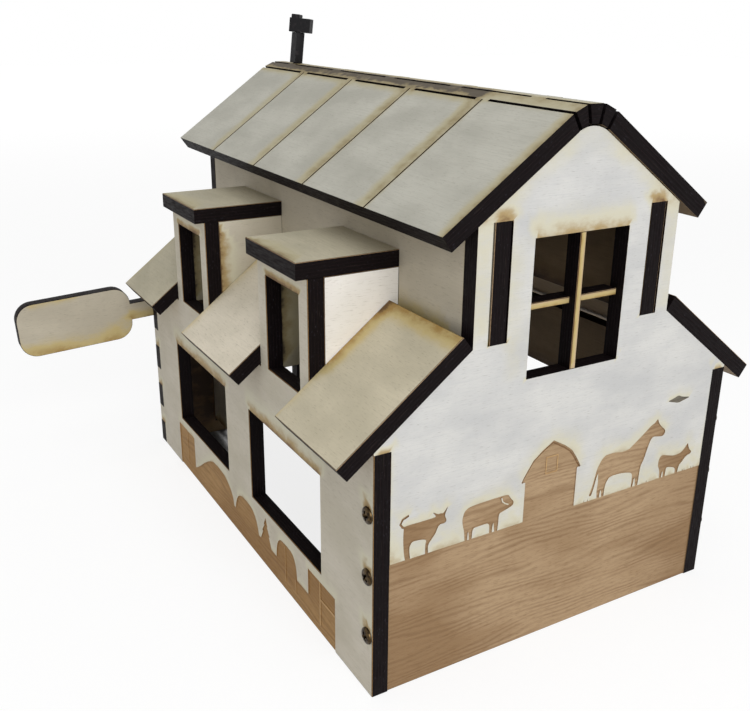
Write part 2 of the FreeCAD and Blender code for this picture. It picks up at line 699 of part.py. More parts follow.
front_gable()
rear_gable()
left_side_wall()
right_side_wall()
loft_sides()
lean_to_roofs()
dormers()
window_bars()
upper_roof()
vane_post()
vane_head()
sign_board()
door_leaf("left_door", f"-{DOOR_PIVOT}", open_inward=True)
door_leaf("right_door", DOOR_PIVOT, open_inward=False)
door_pins()
corner_screws()
doc.recompute()

# Every object has to be sound before a file is written
for item in doc.Objects:
    if "Invalid" in item.State or "Error" in item.State:
        raise RuntimeError(f"{item.Label} failed: {item.State}")
for item in NODES:
    if item.Shape.isNull() or not item.Shape.isValid() or not item.Shape.Solids:
        raise RuntimeError(f"{item.Label} has no valid solid")

os.makedirs("parts", exist_ok=True)
for item in NODES:
    item.Shape.exportStep(f"parts/{item.Label}.step")
    bounds = item.Shape.BoundBox
    print(
        f"{item.Label:28s} solids {len(item.Shape.Solids)}  volume {item.Shape.Volume:9.1f}  "
        f"x {bounds.XMin:7.1f} {bounds.XMax:7.1f}  y {bounds.YMin:7.1f} {bounds.YMax:7.1f}  "
        f"z {bounds.ZMin:6.1f} {bounds.ZMax:6.1f}"
    )
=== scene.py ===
# %% [markdown]
# # A toy barn of laser cut plywood
#
# The real barn is cut out of birch plywood by a laser. That gives it its look: pale sheets, cut edges burnt
# black, tan smoke marks beside every cut, and a farm scene engraved in the lower walls. The shapes, sizes and
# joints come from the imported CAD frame. This lesson copies each sheet, eases and engraves the copy, and gives
# it a finish that knows where the cuts are.

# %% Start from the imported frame
import json
import math

import bmesh
import bpy
from mathutils import Matrix, Vector, kdtree

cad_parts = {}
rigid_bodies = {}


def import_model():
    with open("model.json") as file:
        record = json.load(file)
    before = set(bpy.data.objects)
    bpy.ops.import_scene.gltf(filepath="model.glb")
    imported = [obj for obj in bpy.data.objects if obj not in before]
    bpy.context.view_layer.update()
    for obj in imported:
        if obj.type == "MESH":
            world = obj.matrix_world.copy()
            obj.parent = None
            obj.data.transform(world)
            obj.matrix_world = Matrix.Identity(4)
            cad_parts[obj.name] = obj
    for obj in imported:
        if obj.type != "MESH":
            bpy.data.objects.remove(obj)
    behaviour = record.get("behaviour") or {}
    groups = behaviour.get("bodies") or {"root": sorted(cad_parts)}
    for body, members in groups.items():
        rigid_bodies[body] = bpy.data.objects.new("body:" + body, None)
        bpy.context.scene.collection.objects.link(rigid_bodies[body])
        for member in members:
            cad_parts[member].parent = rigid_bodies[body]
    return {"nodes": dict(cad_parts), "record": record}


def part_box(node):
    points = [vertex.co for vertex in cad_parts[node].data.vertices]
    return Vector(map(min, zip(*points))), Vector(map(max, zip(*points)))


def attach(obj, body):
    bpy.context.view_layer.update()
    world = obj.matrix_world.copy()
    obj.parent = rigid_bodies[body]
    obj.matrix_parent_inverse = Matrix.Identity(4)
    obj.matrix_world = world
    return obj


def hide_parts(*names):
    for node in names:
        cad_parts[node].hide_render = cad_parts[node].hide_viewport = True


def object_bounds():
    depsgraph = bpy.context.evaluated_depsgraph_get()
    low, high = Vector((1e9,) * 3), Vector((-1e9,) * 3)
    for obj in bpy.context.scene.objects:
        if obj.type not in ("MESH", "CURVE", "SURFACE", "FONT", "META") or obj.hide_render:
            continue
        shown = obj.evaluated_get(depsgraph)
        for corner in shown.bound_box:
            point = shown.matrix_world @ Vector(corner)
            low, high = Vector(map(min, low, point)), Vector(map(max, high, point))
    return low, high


MM = 0.001


def add_object(name, data):
    """A new object in the scene."""
    made = bpy.data.objects.new(name, data)
    bpy.context.scene.collection.objects.link(made)
    return made


for leftover in list(bpy.data.objects):
    bpy.data.objects.remove(leftover)
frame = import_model()
cad_low, cad_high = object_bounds()
cad_size = [round((high - low) / MM, 1) for low, high in zip(cad_low, cad_high)]
print(len(frame["nodes"]), "nodes,", cad_size, "mm overall")

# %% [markdown]
# ## Camera
#
# The photograph shows the front gable's corner from a little above. The place, direction and lens were solved
# from the barn's square corners, so a camera built from those numbers lays the model over the picture. A
# camera looks along its own -Z, so its matrix has the right, the up and the backward direction as columns.

# %% Stand the camera where the photographer stood
CAMERA_PLACE = Vector((-192.5, -203.7, 206.9)) * MM
TURN_FROM_RIDGE = math.radians(29.441)
LOOK_DOWN = math.radians(19.614)
CAMERA_ROLL = math.radians(0.229)
SENSOR_WIDTH = 36.0
LENS = 43.40
SHIFT_X, SHIFT_Y = 0.0152, -0.0232
UP = Vector((0, 0, 1))

forward = Vector((math.sin(TURN_FROM_RIDGE), math.cos(TURN_FROM_RIDGE), -math.tan(LOOK_DOWN))).normalized()
level_right = forward.cross(UP).normalized()
camera_turn = Matrix.Rotation(-CAMERA_ROLL, 3, forward)
camera_right = camera_turn @ level_right
camera_up = camera_turn @ level_right.cross(forward)
camera_data = bpy.data.cameras.new("photo_camera")
camera_data.sensor_fit = "HORIZONTAL"
camera_data.sensor_width = SENSOR_WIDTH
camera_data.lens = LENS
camera_data.shift_x, camera_data.shift_y = SHIFT_X, SHIFT_Y
camera_data.clip_start = MM
camera = add_object("photo_camera", camera_data)
camera.matrix_world = Matrix.Translation(CAMERA_PLACE) @ Matrix(
    (camera_right, camera_up, -forward)
).transposed().to_4x4()
bpy.context.scene.camera = camera
bpy.context.scene.view_settings.view_transform = "Standard"
print("camera looks along", [round(part, 3) for part in forward])

# %% [markdown]
# ## Small helpers for shader nodes
#
# A finish is a graph of nodes. Placing and linking nodes by hand takes many lines, so these helpers take a
# value or another node's output for each socket. Colours are written as on a paint chart, 0 to 255, and
# turned into the linear values that shaders use.

# %% Node helpers
def paint(red, green, blue):
    """A paint chart colour as linear red, green, blue and alpha."""

    def linear(level):
        level = level / 255
        return level / 12.92 if level <= 0.04045 else ((level + 0.055) / 1.055) ** 2.4

    return linear(red), linear(green), linear(blue), 1.0


def plug(tree, socket, value):
    """Link a node's output to a socket, or set a plain value on it."""
    if isinstance(value, bpy.types.NodeSocket):
        tree.links.new(value, socket)
    else:
        socket.default_value = value


def add_node(tree, kind, settings=None, **plugs):
    """A new shader node with its settings, and its sockets plugged by name."""
    made = tree.nodes.new("ShaderNode" + kind)
    for name, value in (settings or {}).items():
        setattr(made, name, value)
    for name, value in plugs.items():
        plug(tree, made.inputs[name.replace("_", " ")], value)
    return made


def mix(tree, amount, below, above):
    """One colour over another."""
    mixer = add_node(tree, "Mix", {"data_type": "RGBA"})
    for socket, value in zip((mixer.inputs[0], mixer.inputs[6], mixer.inputs[7]), (amount, below, above)):
        plug(tree, socket, value)
    return mixer.outputs[2]


def reckon(tree, operation, first, second, clamp=True):
    """A sum on two values, kept between 0 and 1 unless the clamp is off."""
    worker = add_node(tree, "Math", {"operation": operation, "use_clamp": clamp})
    plug(tree, worker.inputs[0], first)
    plug(tree, worker.inputs[1], second)
    return worker.outputs[0]


def fade(tree, value, start, end, low=0.0, high=1.0):
    """A soft step from low to high as the value goes from start to end."""
    step = add_node(
        tree, "MapRange", {"interpolation_type": "SMOOTHSTEP"},
        Value=value, From_Min=start, From_Max=end, To_Min=low, To_Max=high,
    )
    return step.outputs[0]


print("node helpers ready")

# %% [markdown]
# ## Light, floor and background
#
# The photograph has soft, even light, a little stronger on the front gable than on the long wall, and a white
# background. A white world with a strength of its own for the camera gives that background without pouring
# more light on the object. Two large lamps add the soft modelling: one from the front, near the camera, and
# one from above. The floor glows a little to look white, but not where boards shut it in on most sides,
# which an ambient occlusion node measures: there the glow is taken away, a painted shade in those corners.

# %% A white room
AMBIENT = 0.42
FRONT_LAMP = {"place": (-0.15, -1.0, 0.65), "size": 0.7, "watts": 6.4}
TOP_LAMP = {"place": (-0.25, 0.1, 1.1), "size": 0.9, "watts": 2.6}
BARN_MIDDLE = Vector((0.0, 0.11, 0.09))
WHITE = paint(255, 255, 255)


def seen_directly(tree):
    """1 where the camera, a mirror or a glass looks, and 0 for light that bounces."""
    path = add_node(tree, "LightPath")
    seen = reckon(tree, "ADD", path.outputs["Is Camera Ray"], path.outputs["Is Glossy Ray"])
    return reckon(tree, "ADD", seen, path.outputs["Is Transmission Ray"])


world = bpy.data.worlds.new("white_room")
bpy.context.scene.world = world
world.use_nodes = True
tree = world.node_tree
tree.nodes.clear()
sky = add_node(tree, "Background", Color=WHITE, Strength=AMBIENT)
backdrop = add_node(tree, "Background", Color=WHITE, Strength=1.0)
either = add_node(tree, "MixShader", Fac=seen_directly(tree))
tree.links.new(sky.outputs[0], either.inputs[1])
tree.links.new(backdrop.outputs[0], either.inputs[2])
tree.links.new(either.outputs[0], add_node(tree, "OutputWorld").inputs["Surface"])


def add_lamp(name, place, size, watts):
    """A square area lamp that points at the barn."""
    lamp_data = bpy.data.lights.new(name, "AREA")
    lamp_data.size = size
    lamp_data.energy = watts
    lamp = add_object(name, lamp_data)
    lamp.location = place
    lamp.rotation_euler = (BARN_MIDDLE - Vector(place)).to_track_quat("-Z", "Y").to_euler()


add_lamp("front_lamp", **FRONT_LAMP)
add_lamp("top_lamp", **TOP_LAMP)
print("ambient", AMBIENT, "and lamps of", FRONT_LAMP["watts"], "and", TOP_LAMP["watts"], "watts")

# %% A pale floor that keeps a faint shadow
FLOOR_HALF = 4.0
FLOOR_DROP = 0.1 * MM
SQUARE = ((-1, -1), (1, -1), (1, 1), (-1, 1))
NEAR_GLOW, FAR_GLOW = 0.82, 0.91
FADE_START, FADE_END = 0.4, 2.0
SHUT_IN_REACH = 0.09
SHUT_IN, OPEN = 0.24, 0.4
OPENNESS_RAYS = 32
BOUNCE_GREY, SEEN_GREY = paint(240, 240, 240), paint(130, 130, 130)

floor_paint = bpy.data.materials.new("floor_white")
floor_paint.use_nodes = True
tree = floor_paint.node_tree
tree.nodes.clear()
seen = seen_directly(tree)
away = add_node(tree, "VectorMath", {"operation": "LENGTH"})
plug(tree, away.inputs[0], add_node(tree, "TexCoord").outputs["Object"])
level = fade(tree, away.outputs["Value"], FADE_START, FADE_END, NEAR_GLOW, FAR_GLOW)
# ambient occlusion dims the floor's glow where boards close in: a painted shade in shut-in corners
openness_for_painted_shade = add_node(tree, "AmbientOcclusion", {"samples": OPENNESS_RAYS}, Distance=SHUT_IN_REACH)
level = reckon(tree, "MULTIPLY", level, fade(tree, openness_for_painted_shade.outputs["AO"], SHUT_IN, OPEN))
matte = add_node(tree, "BsdfDiffuse", Color=mix(tree, seen, BOUNCE_GREY, SEEN_GREY))
glow = add_node(tree, "Emission", Color=WHITE, Strength=reckon(tree, "MULTIPLY", seen, level))
both = add_node(tree, "AddShader")
tree.links.new(matte.outputs[0], both.inputs[0])
tree.links.new(glow.outputs[0], both.inputs[1])
tree.links.new(both.outputs[0], add_node(tree, "OutputMaterial").inputs["Surface"])

floor_mesh = bpy.data.meshes.new("floor")
corners = [(x * FLOOR_HALF, y * FLOOR_HALF, -FLOOR_DROP) for x, y in SQUARE]
floor_mesh.from_pydata(corners, [], [(0, 1, 2, 3)])
floor_mesh.materials.append(floor_paint)
floor = add_object("floor", floor_mesh)
print("floor", 2 * FLOOR_HALF, "m wide")

# %% [markdown]
# ## Birch veneer
#
# Birch plywood is pale, with fine fibres along the grain, grey clouds, short dark pores and a few specks. A
# flat colour would look like plastic, so four noises at the size of those marks are laid over each other.
# They read a "grain" attribute that every sheet carries: millimetres along the grain, across it, and a number
# of its own, so no two sheets share a pattern. A second attribute, for scorch and shade, says how much
# smoke a spot took while the laser cut beside it; in one dark corner inside it also carries a painted shade.
# Noise breaks the smoke up, because real smoke marks are patchy.

# %% Veneer finish
BUMP_STRENGTH = 0.6
SMOKE_STEPS = ((0.04, 0.34), (0.28, 0.72), (0.68, 1.05))
SMOKE_COVER = 0.9


def grain_noise(tree, along, across, detail=4.0, roughness=0.6, distortion=0.0):
    """Noise whose marks are about this many millimetres long and wide on the sheet."""
    grain = add_node(tree, "Attribute", {"attribute_name": "grain"}).outputs["Vector"]
    stretched = add_node(tree, "VectorMath", {"operation": "MULTIPLY"})
    plug(tree, stretched.inputs[0], grain)
    plug(tree, stretched.inputs[1], (1 / along, 1 / across, 1.0))
    noise = add_node(
        tree, "TexNoise", Vector=stretched.outputs[0], Scale=1.0,
        Detail=detail, Roughness=roughness, Distortion=distortion,
    )
    return noise.outputs[0]


def start_finish(name):
    """A new material with an empty graph, its surface shader and its output."""
    finish = bpy.data.materials.new(name)
    finish.use_nodes = True
    tree = finish.node_tree
    tree.nodes.clear()
    surface = add_node(tree, "BsdfPrincipled")
    tree.links.new(surface.outputs[0], add_node(tree, "OutputMaterial").inputs["Surface"])
    return finish, tree, surface


def finish_surface(tree, surface, colour, rough, height, depth, shine=0.5):
    """Plug colour and roughness, and bump a height map of this depth in millimetres."""
    plug(tree, surface.inputs["Base Color"], colour)
    plug(tree, surface.inputs["Roughness"], rough)
    plug(tree, surface.inputs["Specular IOR Level"], shine)
    bump = add_node(tree, "Bump", Strength=BUMP_STRENGTH, Distance=depth * MM, Height=height)
    plug(tree, surface.inputs["Normal"], bump.outputs[0])


def veneer(name, pale, grey, pore, smoke_tones):
    """Sanded birch. Its smoke marks go from cream over amber to brown beside the cuts."""
    finish, tree, surface = start_finish(name)
    pale, grey, pore = paint(*pale), paint(*grey), paint(*pore)
    clouds = fade(tree, grain_noise(tree, 30, 16, 4, 0.55), 0.3, 0.7)
    colour = mix(tree, clouds, pale, grey)
    fibres = grain_noise(tree, 16, 0.5, 5, 0.7)
    colour = mix(tree, fade(tree, fibres, 0.46, 0.76, 0.0, 0.7), colour, grey)
    pores = fade(tree, grain_noise(tree, 2.6, 0.3, 3, 0.6), 0.56, 0.74, 0.0, 0.5)
    colour = mix(tree, pores, colour, pore)
    specks = fade(tree, grain_noise(tree, 0.7, 0.5, 1, 0.4), 0.79, 0.83, 0.0, 0.7)
    colour = mix(tree, specks, colour, pore)
    scorch_and_shade = add_node(tree, "Attribute", {"attribute_name": "scorch_and_shade"}).outputs["Fac"]
    patches = fade(tree, grain_noise(tree, 8, 5, 5, 0.65), 0.3, 0.7, 0.7, 1.15)
    smoke = reckon(tree, "MULTIPLY", scorch_and_shade, patches)
    for tone, (start, end) in zip(smoke_tones, SMOKE_STEPS):
        colour = mix(tree, fade(tree, smoke, start, end, 0.0, SMOKE_COVER), colour, paint(*tone))
    rough = fade(tree, fibres, 0.3, 0.7, 0.55, 0.72)
    finish_surface(tree, surface, colour, rough, fibres, 0.08, shine=0.35)
    return finish


PALE_SMOKE = (219, 214, 190), (176, 148, 96), (112, 78, 46)
DULL_SMOKE = (204, 184, 126), (164, 128, 64), (92, 62, 34)
OLIVE_SMOKE = (182, 173, 140), (146, 130, 92), (46, 36, 28)
# smoke tones of the inner sides, which also paint the shade in the rear gable's dark inside corner
DARK_SMOKE_AND_SHADE = (118, 96, 66), (86, 64, 42), (50, 36, 26)
gable_face = veneer("gable_birch", (224, 223, 219), (204, 204, 203), (158, 155, 148), PALE_SMOKE)
side_face = veneer("side_birch", (218, 210, 194), (202, 194, 175), (156, 146, 124), PALE_SMOKE)
# near white: partly a paler veneer, partly painted light on the front dormer's near cheek
pale_lit_cheek_face = veneer("pale_lit_cheek_birch", (255, 252, 247), (244, 240, 233), (196, 190, 178), PALE_SMOKE)
lean_face = veneer("lean_to_birch", (216, 206, 180), (196, 187, 162), (136, 122, 90), DULL_SMOKE)
# a paler copy of the lean-to birch: painted light on the middle lean-to sheet
lit_lean_face = veneer("lit_lean_to", (236, 226, 206), (216, 207, 186), (150, 138, 108), DULL_SMOKE)
roof_face = veneer("roof_birch", (196, 194, 182), (176, 174, 162), (136, 130, 112), OLIVE_SMOKE)
# dormer roofs' duller birch; as a darker copy it is a painted shade on the rear lean-to and far cheeks
dormer_and_shaded_face = veneer("dormer_and_shaded_birch", (194, 186, 162), (174, 167, 144), (126, 116, 92), OLIVE_SMOKE)
# darker copy of the side birch: painted shade on the loft rails and boards under the roof, and on the sign
shaded_loft_face = veneer("shaded_loft_birch", (206, 197, 177), (190, 181, 162), (140, 130, 110), DULL_SMOKE)
bar_face = veneer("bar_birch", (206, 182, 146), (186, 158, 118), (128, 96, 62), DULL_SMOKE)
# inner sides: laser smoke on the back of the sheet, made darker still as a painted shade of the inside
smoked_and_shaded_inner_face = veneer("smoked_and_shaded_birch", (146, 124, 94), (124, 104, 78), (86, 68, 50), DARK_SMOKE_AND_SHADE)
print("veneers from", gable_face.name, "to", smoked_and_shaded_inner_face.name)

# %% [markdown]
# ## Charred edges
#
# Where the laser went through, the edge is nearly black, with a faint purple tinge. The plies still show as
# thin lines, and paler specks and streaks are partly ash and partly a painted glint of light. On a cut edge
# the "grain" attribute holds millimetres along the edge and millimetres below the sheet's face, so a repeated
# ramp of the second value draws the plies.

# %% Charred edge finish
PLY_LAYER = 1.2


def charred(name, char, glue_line, ash_and_glint, streak_and_sheen):
    """A burnt cut edge with its ply lines, and paler specks and long streaks: partly ash, partly painted
    glints.
    """
    finish, tree, surface = start_finish(name)
    grain = add_node(tree, "Attribute", {"attribute_name": "grain"}).outputs["Vector"]
    below = add_node(tree, "SeparateXYZ", Vector=grain).outputs["Y"]
    layer = reckon(tree, "PINGPONG", below, PLY_LAYER / 2, clamp=False)
    wander = grain_noise(tree, 5, 0.8, 3, 0.6)
    line = fade(tree, layer, 0.02, 0.16, 1.0, 0.0)
    line = reckon(tree, "MULTIPLY", line, fade(tree, wander, 0.35, 0.65))
    colour = mix(tree, line, char, glue_line)
    ash_and_glint_flecks = fade(tree, grain_noise(tree, 1.2, 0.5, 3, 0.6), 0.6, 0.76, 0.0, 0.4)
    colour = mix(tree, ash_and_glint_flecks, colour, ash_and_glint)
    streak_and_sheen_marks = fade(tree, grain_noise(tree, 12, 0.35, 3, 0.6), 0.64, 0.78, 0.0, 0.4)
    colour = mix(tree, streak_and_sheen_marks, colour, streak_and_sheen)
    rough = fade(tree, wander, 0.3, 0.7, 0.5, 0.75)
    finish_surface(tree, surface, colour, rough, line, 0.12, shine=0.08)
    return finish


# the last two colours are the paler specks and streaks: partly ash, partly a painted glint
char_edge = charred(
    "charred_edge", paint(16, 10, 11), paint(34, 24, 25), paint(76, 72, 82), paint(96, 84, 76)
)
print("edges:", char_edge.name)

# %% [markdown]
# ## Engraved wood
#
# The engraved pockets show the wood under the veneer's skin, toasted brown, with long wavy growth lines. A
# ramp that goes up and down across the grain draws the lines at an even spacing, and a slow noise added to it
# makes them wander. On the front gable the pocket wood is darker towards its ends.

# %% Engraved finish and the small plug of darker veneer
GROWTH_SPACING = 1.9
GROWTH_WIDTH = 0.42 * GROWTH_SPACING
GROWTH_WANDER = 14.0


def growth_lines(tree, across):
    """Wavy lines along the grain at an even spacing."""
    drift = grain_noise(tree, 70, 14, 2, 0.5)
    moved = add_node(tree, "Math", {"operation": "MULTIPLY_ADD"})
    for socket, value in zip(moved.inputs, (drift, GROWTH_WANDER, across)):
        plug(tree, socket, value)
    ramp = reckon(tree, "PINGPONG", moved.outputs[0], GROWTH_SPACING / 2, clamp=False)
    return fade(tree, ramp, 0.0, GROWTH_WIDTH, 1.0, 0.0)


def engraved(name, light, middle, dark, ends=None):
    """Toasted wood at the bottom of an engraved pocket, darker towards the ends if they are given."""
    finish, tree, surface = start_finish(name)
    light, middle, dark = paint(*light), paint(*middle), paint(*dark)
    grain = add_node(tree, "Attribute", {"attribute_name": "grain"}).outputs["Vector"]
    place = add_node(tree, "SeparateXYZ", Vector=grain)
    broad = fade(tree, grain_noise(tree, 60, 26, 3, 0.5, 0.4), 0.34, 0.64)
    if ends:
        aside = add_node(tree, "Math", {"operation": "ABSOLUTE"})
        plug(tree, aside.inputs[0], place.outputs["X"])
        darker_at_ends = fade(tree, aside.outputs[0], ends[0], ends[1], -0.35, 0.5)
        broad = reckon(tree, "ADD", broad, darker_at_ends)
    colour = mix(tree, broad, light, middle)
    presence = fade(tree, grain_noise(tree, 34, 6, 3, 0.6), 0.36, 0.62, 0.06, 0.54)
    lines = reckon(tree, "MULTIPLY", growth_lines(tree, place.outputs["Y"]), presence)
    colour = mix(tree, lines, colour, dark)
    fine = grain_noise(tree, 3.4, 0.26, 3, 0.6)
    colour = mix(tree, fade(tree, fine, 0.52, 0.7, 0.0, 0.64), colour, dark)
    rough = fade(tree, fine, 0.3, 0.7, 0.6, 0.78)
    finish_surface(tree, surface, colour, rough, lines, 0.1, shine=0.25)
    return finish


GABLE_ENDS = (22, 66)
pocket_wood = engraved("engraved_wood", (184, 156, 122), (154, 124, 90), (128, 98, 67), GABLE_ENDS)
yard_wood = engraved("engraved_yard", (180, 142, 92), (160, 122, 74), (130, 95, 57))
slat_wood = engraved("raised_slats", (206, 172, 126), (190, 154, 106), (160, 122, 78))
eave_wood = engraved("shaded_line", (150, 118, 84), (138, 106, 74), (112, 84, 56))
line_wood = engraved("scored_line", (86, 74, 56), (66, 56, 43), (40, 33, 27))
plug_wood = engraved("veneer_plug", (122, 116, 102), (100, 94, 84), (64, 58, 52))
print("engraved finishes from", pocket_wood.name, "to", plug_wood.name)

# %% [markdown]
# ## From CAD solid to workable sheet
#
# The frame's meshes are triangles, and they stay as they are: a dressed copy stands in for each sheet.
# Joining the flat triangles again gives faces whose edges are the real edges of the piece. Those edges then
# get a tiny round, since no real edge is perfectly sharp.

# %% Copy a sheet and ease its edges
WELD = 0.002 * MM
FLAT_ANGLE = math.radians(0.3)
ARRIS_ANGLE = 0.5
FACING = 0.97
SAME_WAY = 0.9999
SHEET_SIDE = 0.75
EDGE_ROUND = 0.22 * MM


def joined_copy(node):
    """A bmesh of the CAD node with its flat facets joined."""
    sheet = bmesh.new()
    sheet.from_mesh(frame["nodes"][node].data)
    bmesh.ops.remove_doubles(sheet, verts=sheet.verts, dist=WELD)
    bmesh.ops.dissolve_limit(sheet, angle_limit=FLAT_ANGLE, verts=sheet.verts, edges=sheet.edges)
    sheet.normal_update()
    return sheet


def outer_facets(sheet, outward):
    """The planes of the sheet's outer side, as (normal, level). A bent sheet has several."""
    normals = []
    for face in sheet.faces:
        known = any(face.normal.dot(normal) > SAME_WAY for normal in normals)
        if face.normal.dot(outward) > SHEET_SIDE and not known:
            normals.append(face.normal.copy())
    return [(normal, max(normal.dot(v.co) for v in sheet.verts)) for normal in normals]


def depth_below(point, facets):
    """How far a point lies under the sheet's outer side."""
    return min(level - normal.dot(point) for normal, level in facets)


def is_flat_side(face, facets):
    """Whether a face belongs to one of the sheet's two broad sides."""
    return any(abs(face.normal.dot(normal)) > FACING for normal, level in facets)


def ease_edges(sheet, facets):
    """Round the arrises between the sheet's two sides and its cut edges."""
    flat = {face for face in sheet.faces if is_flat_side(face, facets)}
    arrises = []
    for edge in sheet.edges:
        between = sum(face in flat for face in edge.link_faces) == 1
        if between and edge.calc_face_angle_signed(0.0) > ARRIS_ANGLE:
            arrises.append(edge)
    bmesh.ops.bevel(
        sheet, geom=arrises, offset=EDGE_ROUND, segments=2, profile=0.5, affect="EDGES", clamp_overlap=True
    )


def put_in_scene(name, sheet):
    """Turn a bmesh into an object of the scene."""
    mesh = bpy.data.meshes.new(name)
    sheet.to_mesh(mesh)
    sheet.free()
    return add_object(name, mesh)


print("edges get a round of", EDGE_ROUND / MM, "mm")

# %% [markdown]
# ## Engraving tools
#
# A pocket is cut the way a router would cut it: a solid in the shape of the figure is sunk into the sheet and
# taken away with a Boolean modifier. Each outline is a short list of points, and cutting their corners twice
# makes them flow. Lines that stay raised inside a figure are taken out of the cutter first.

# %% Outlines, ribbons and the Boolean cut
CORNER_SHARE = 0.2
POCKET_DEPTH = 0.4
LINE_DEPTH = 0.6
PLUG_DEPTH = 0.1
SLAT_DEPTH = 0.2
CUTTER_RISE = 2.0


def eased(outline, rounds=2):
    """Cut the corners of a closed outline, so that it flows."""
    for _ in range(rounds):
        softer = []
        for (ax, ay), (bx, by) in zip(outline, outline[1:] + outline[:1]):
            for share in (CORNER_SHARE, 1 - CORNER_SHARE):
                softer.append((ax + (bx - ax) * share, ay + (by - ay) * share))
        outline = softer
    return outline


def ribbon(line, width):
    """The outline of a line drawn with a pen of this width."""
    left, right = [], []
    for index, (x, y) in enumerate(line):
        before, after = line[max(index - 1, 0)], line[min(index + 1, len(line) - 1)]
        run, rise = after[0] - before[0], after[1] - before[1]
        length = math.hypot(run, rise)
        side_x, side_y = -rise / length * width / 2, run / length * width / 2
        left.append((x + side_x, y + side_y))
        right.append((x - side_x, y - side_y))
    return left + right[::-1]


def block(left, right, low, high):
    """The outline of a rectangle."""
    return [(left, low), (right, low), (right, high), (left, high)]


def cutter(name, outlines, place, depth):
    """A solid of upright prisms, from above the sheet's face down to the depth."""
    made = bmesh.new()
    for outline in outlines:
        top = [made.verts.new(place(a, b, -CUTTER_RISE)) for a, b in outline]
        foot = [made.verts.new(place(a, b, depth)) for a, b in outline]
        made.faces.new(top)
        made.faces.new(foot[::-1])
        for here in range(len(outline)):
            made.faces.new((top[here - 1], top[here], foot[here], foot[here - 1]))
    bmesh.ops.recalc_face_normals(made, faces=made.faces)
    return put_in_scene(name, made)


def carve(piece, tool):
    """Take the tool's solid out of the piece, and the tool away."""
    knife = piece.modifiers.new("carve", "BOOLEAN")
    knife.object = tool
    knife.operation = "DIFFERENCE"
    knife.solver = "EXACT"
    knife.use_self = True
    ready = piece.evaluated_get(bpy.context.evaluated_depsgraph_get())
    piece.data = bpy.data.meshes.new_from_object(ready)
    piece.modifiers.clear()
    bpy.data.objects.remove(tool)


print("pockets are", POCKET_DEPTH, "mm deep")

# %% [markdown]
# ## The farm scene on the front gable
#
# The gable's lower part is engraved all over, and plain farm silhouettes stand on its top line: a cow, a pig,
# a small barn, a horse and a foal. They are drawn in millimetres across the gable and up from the table.

# %% Figures of the gable
GROUND_LINE = 47.7
GROUND_HALF = 80.0
COW = [
    (-63.2, 59.4), (-62.4, 59.9), (-57, 59.8), (-52, 59.8), (-51.3, 60.1), (-52.8, 62), (-50.6, 60.6),
    (-49.6, 60.7), (-48.6, 60.4), (-46.7, 62.8), (-47.8, 60.2), (-48.0, 59.4), (-47.2, 57.5), (-47.9, 56.7),
    (-49.8, 56.8), (-50.6, 55.8), (-51.3, 54), (-52.8, 52.2), (-54.1, 50.6), (-53.9, 47), (-55.1, 47),
    (-55.1, 50.8), (-54.7, 52.8), (-57, 53.4), (-60, 53.6), (-60.8, 52.3), (-61, 50.8), (-60.5, 47),
    (-62.4, 47), (-63, 50.5), (-63.3, 55),
]
COW_TAIL = [(-62.6, 59.2), (-63.6, 59.7), (-64.4, 60.9), (-63.6, 62.4), (-61.4, 63.2)]
PIG = [
    (-41.2, 56), (-40.5, 58.6), (-38.5, 59.8), (-32, 60.1), (-25.2, 60.2), (-23, 60), (-22.1, 58.6),
    (-20.6, 56.8), (-20.9, 55.6), (-22.5, 55), (-25, 54.3), (-26.5, 53.9), (-26.6, 50), (-26.9, 47),
    (-28, 47), (-28.6, 51.4), (-28.9, 50), (-29.1, 47), (-30.2, 47), (-30.2, 51.6), (-34, 51.6),
    (-37, 51.5), (-37.1, 47), (-38.2, 47), (-38.5, 50.6), (-38.8, 50.6), (-38.9, 47), (-39.9, 47),
    (-40.3, 51.5), (-41, 54),
]
PIG_EAR = [(-25.7, 59.4), (-25.3, 58), (-24.2, 57), (-22.8, 56.3)]
HORSE = [
    (16.2, 61), (17.4, 62.8), (19, 64), (23, 64), (27, 63.2), (30, 63.6), (32, 65), (35, 67), (37.5, 68.8),
    (39.6, 70.4), (41.4, 71.1), (42.8, 72.6), (43.4, 70.8), (45, 69), (46.9, 67.4), (47.2, 66.4),
    (46.7, 65.3), (45.6, 65), (43, 65.5), (41.4, 65.8), (40.2, 64.8), (39.2, 62), (38.3, 59), (37.6, 57),
    (36.7, 55.5), (36.4, 53), (36.1, 47), (34.9, 47), (34.4, 51), (34, 51), (33.5, 47), (32.7, 47),
    (33, 50.5), (32.7, 53.7), (28, 54.8), (22, 55), (20.4, 53), (19.9, 51), (19.8, 47), (18.7, 47),
    (18.4, 50.4), (17.9, 50.4), (17.6, 47), (16.6, 47), (16.2, 51), (16.5, 54), (16.1, 58),
]
HORSE_TAIL = [
    (16.6, 61.6), (15.4, 59.4), (14, 53.2), (12.6, 49.4), (13.9, 49.4), (14.9, 53), (15.6, 56.5),
    (16.6, 58.4),
]
FOAL = [
    (45.6, 55), (46.2, 56.5), (47.2, 57), (49, 56.6), (53, 55.4), (56.5, 55.5), (58.5, 56.9), (60.2, 59.1),
    (60.6, 57.5), (61.2, 56.2), (62.6, 54.9), (62.2, 54.1), (60.5, 53.8), (59.3, 53), (58.3, 51.8),
    (57, 50.8), (56.5, 49.5), (56.2, 47), (54.9, 47), (54.9, 49.7), (53.5, 50.6), (50.3, 51.4), (50, 50.5),
    (49.8, 47), (48.8, 47), (48.6, 50), (48.2, 50), (47.9, 47), (46.9, 47), (46.8, 50), (46.3, 51.7),
    (45.6, 53),
]
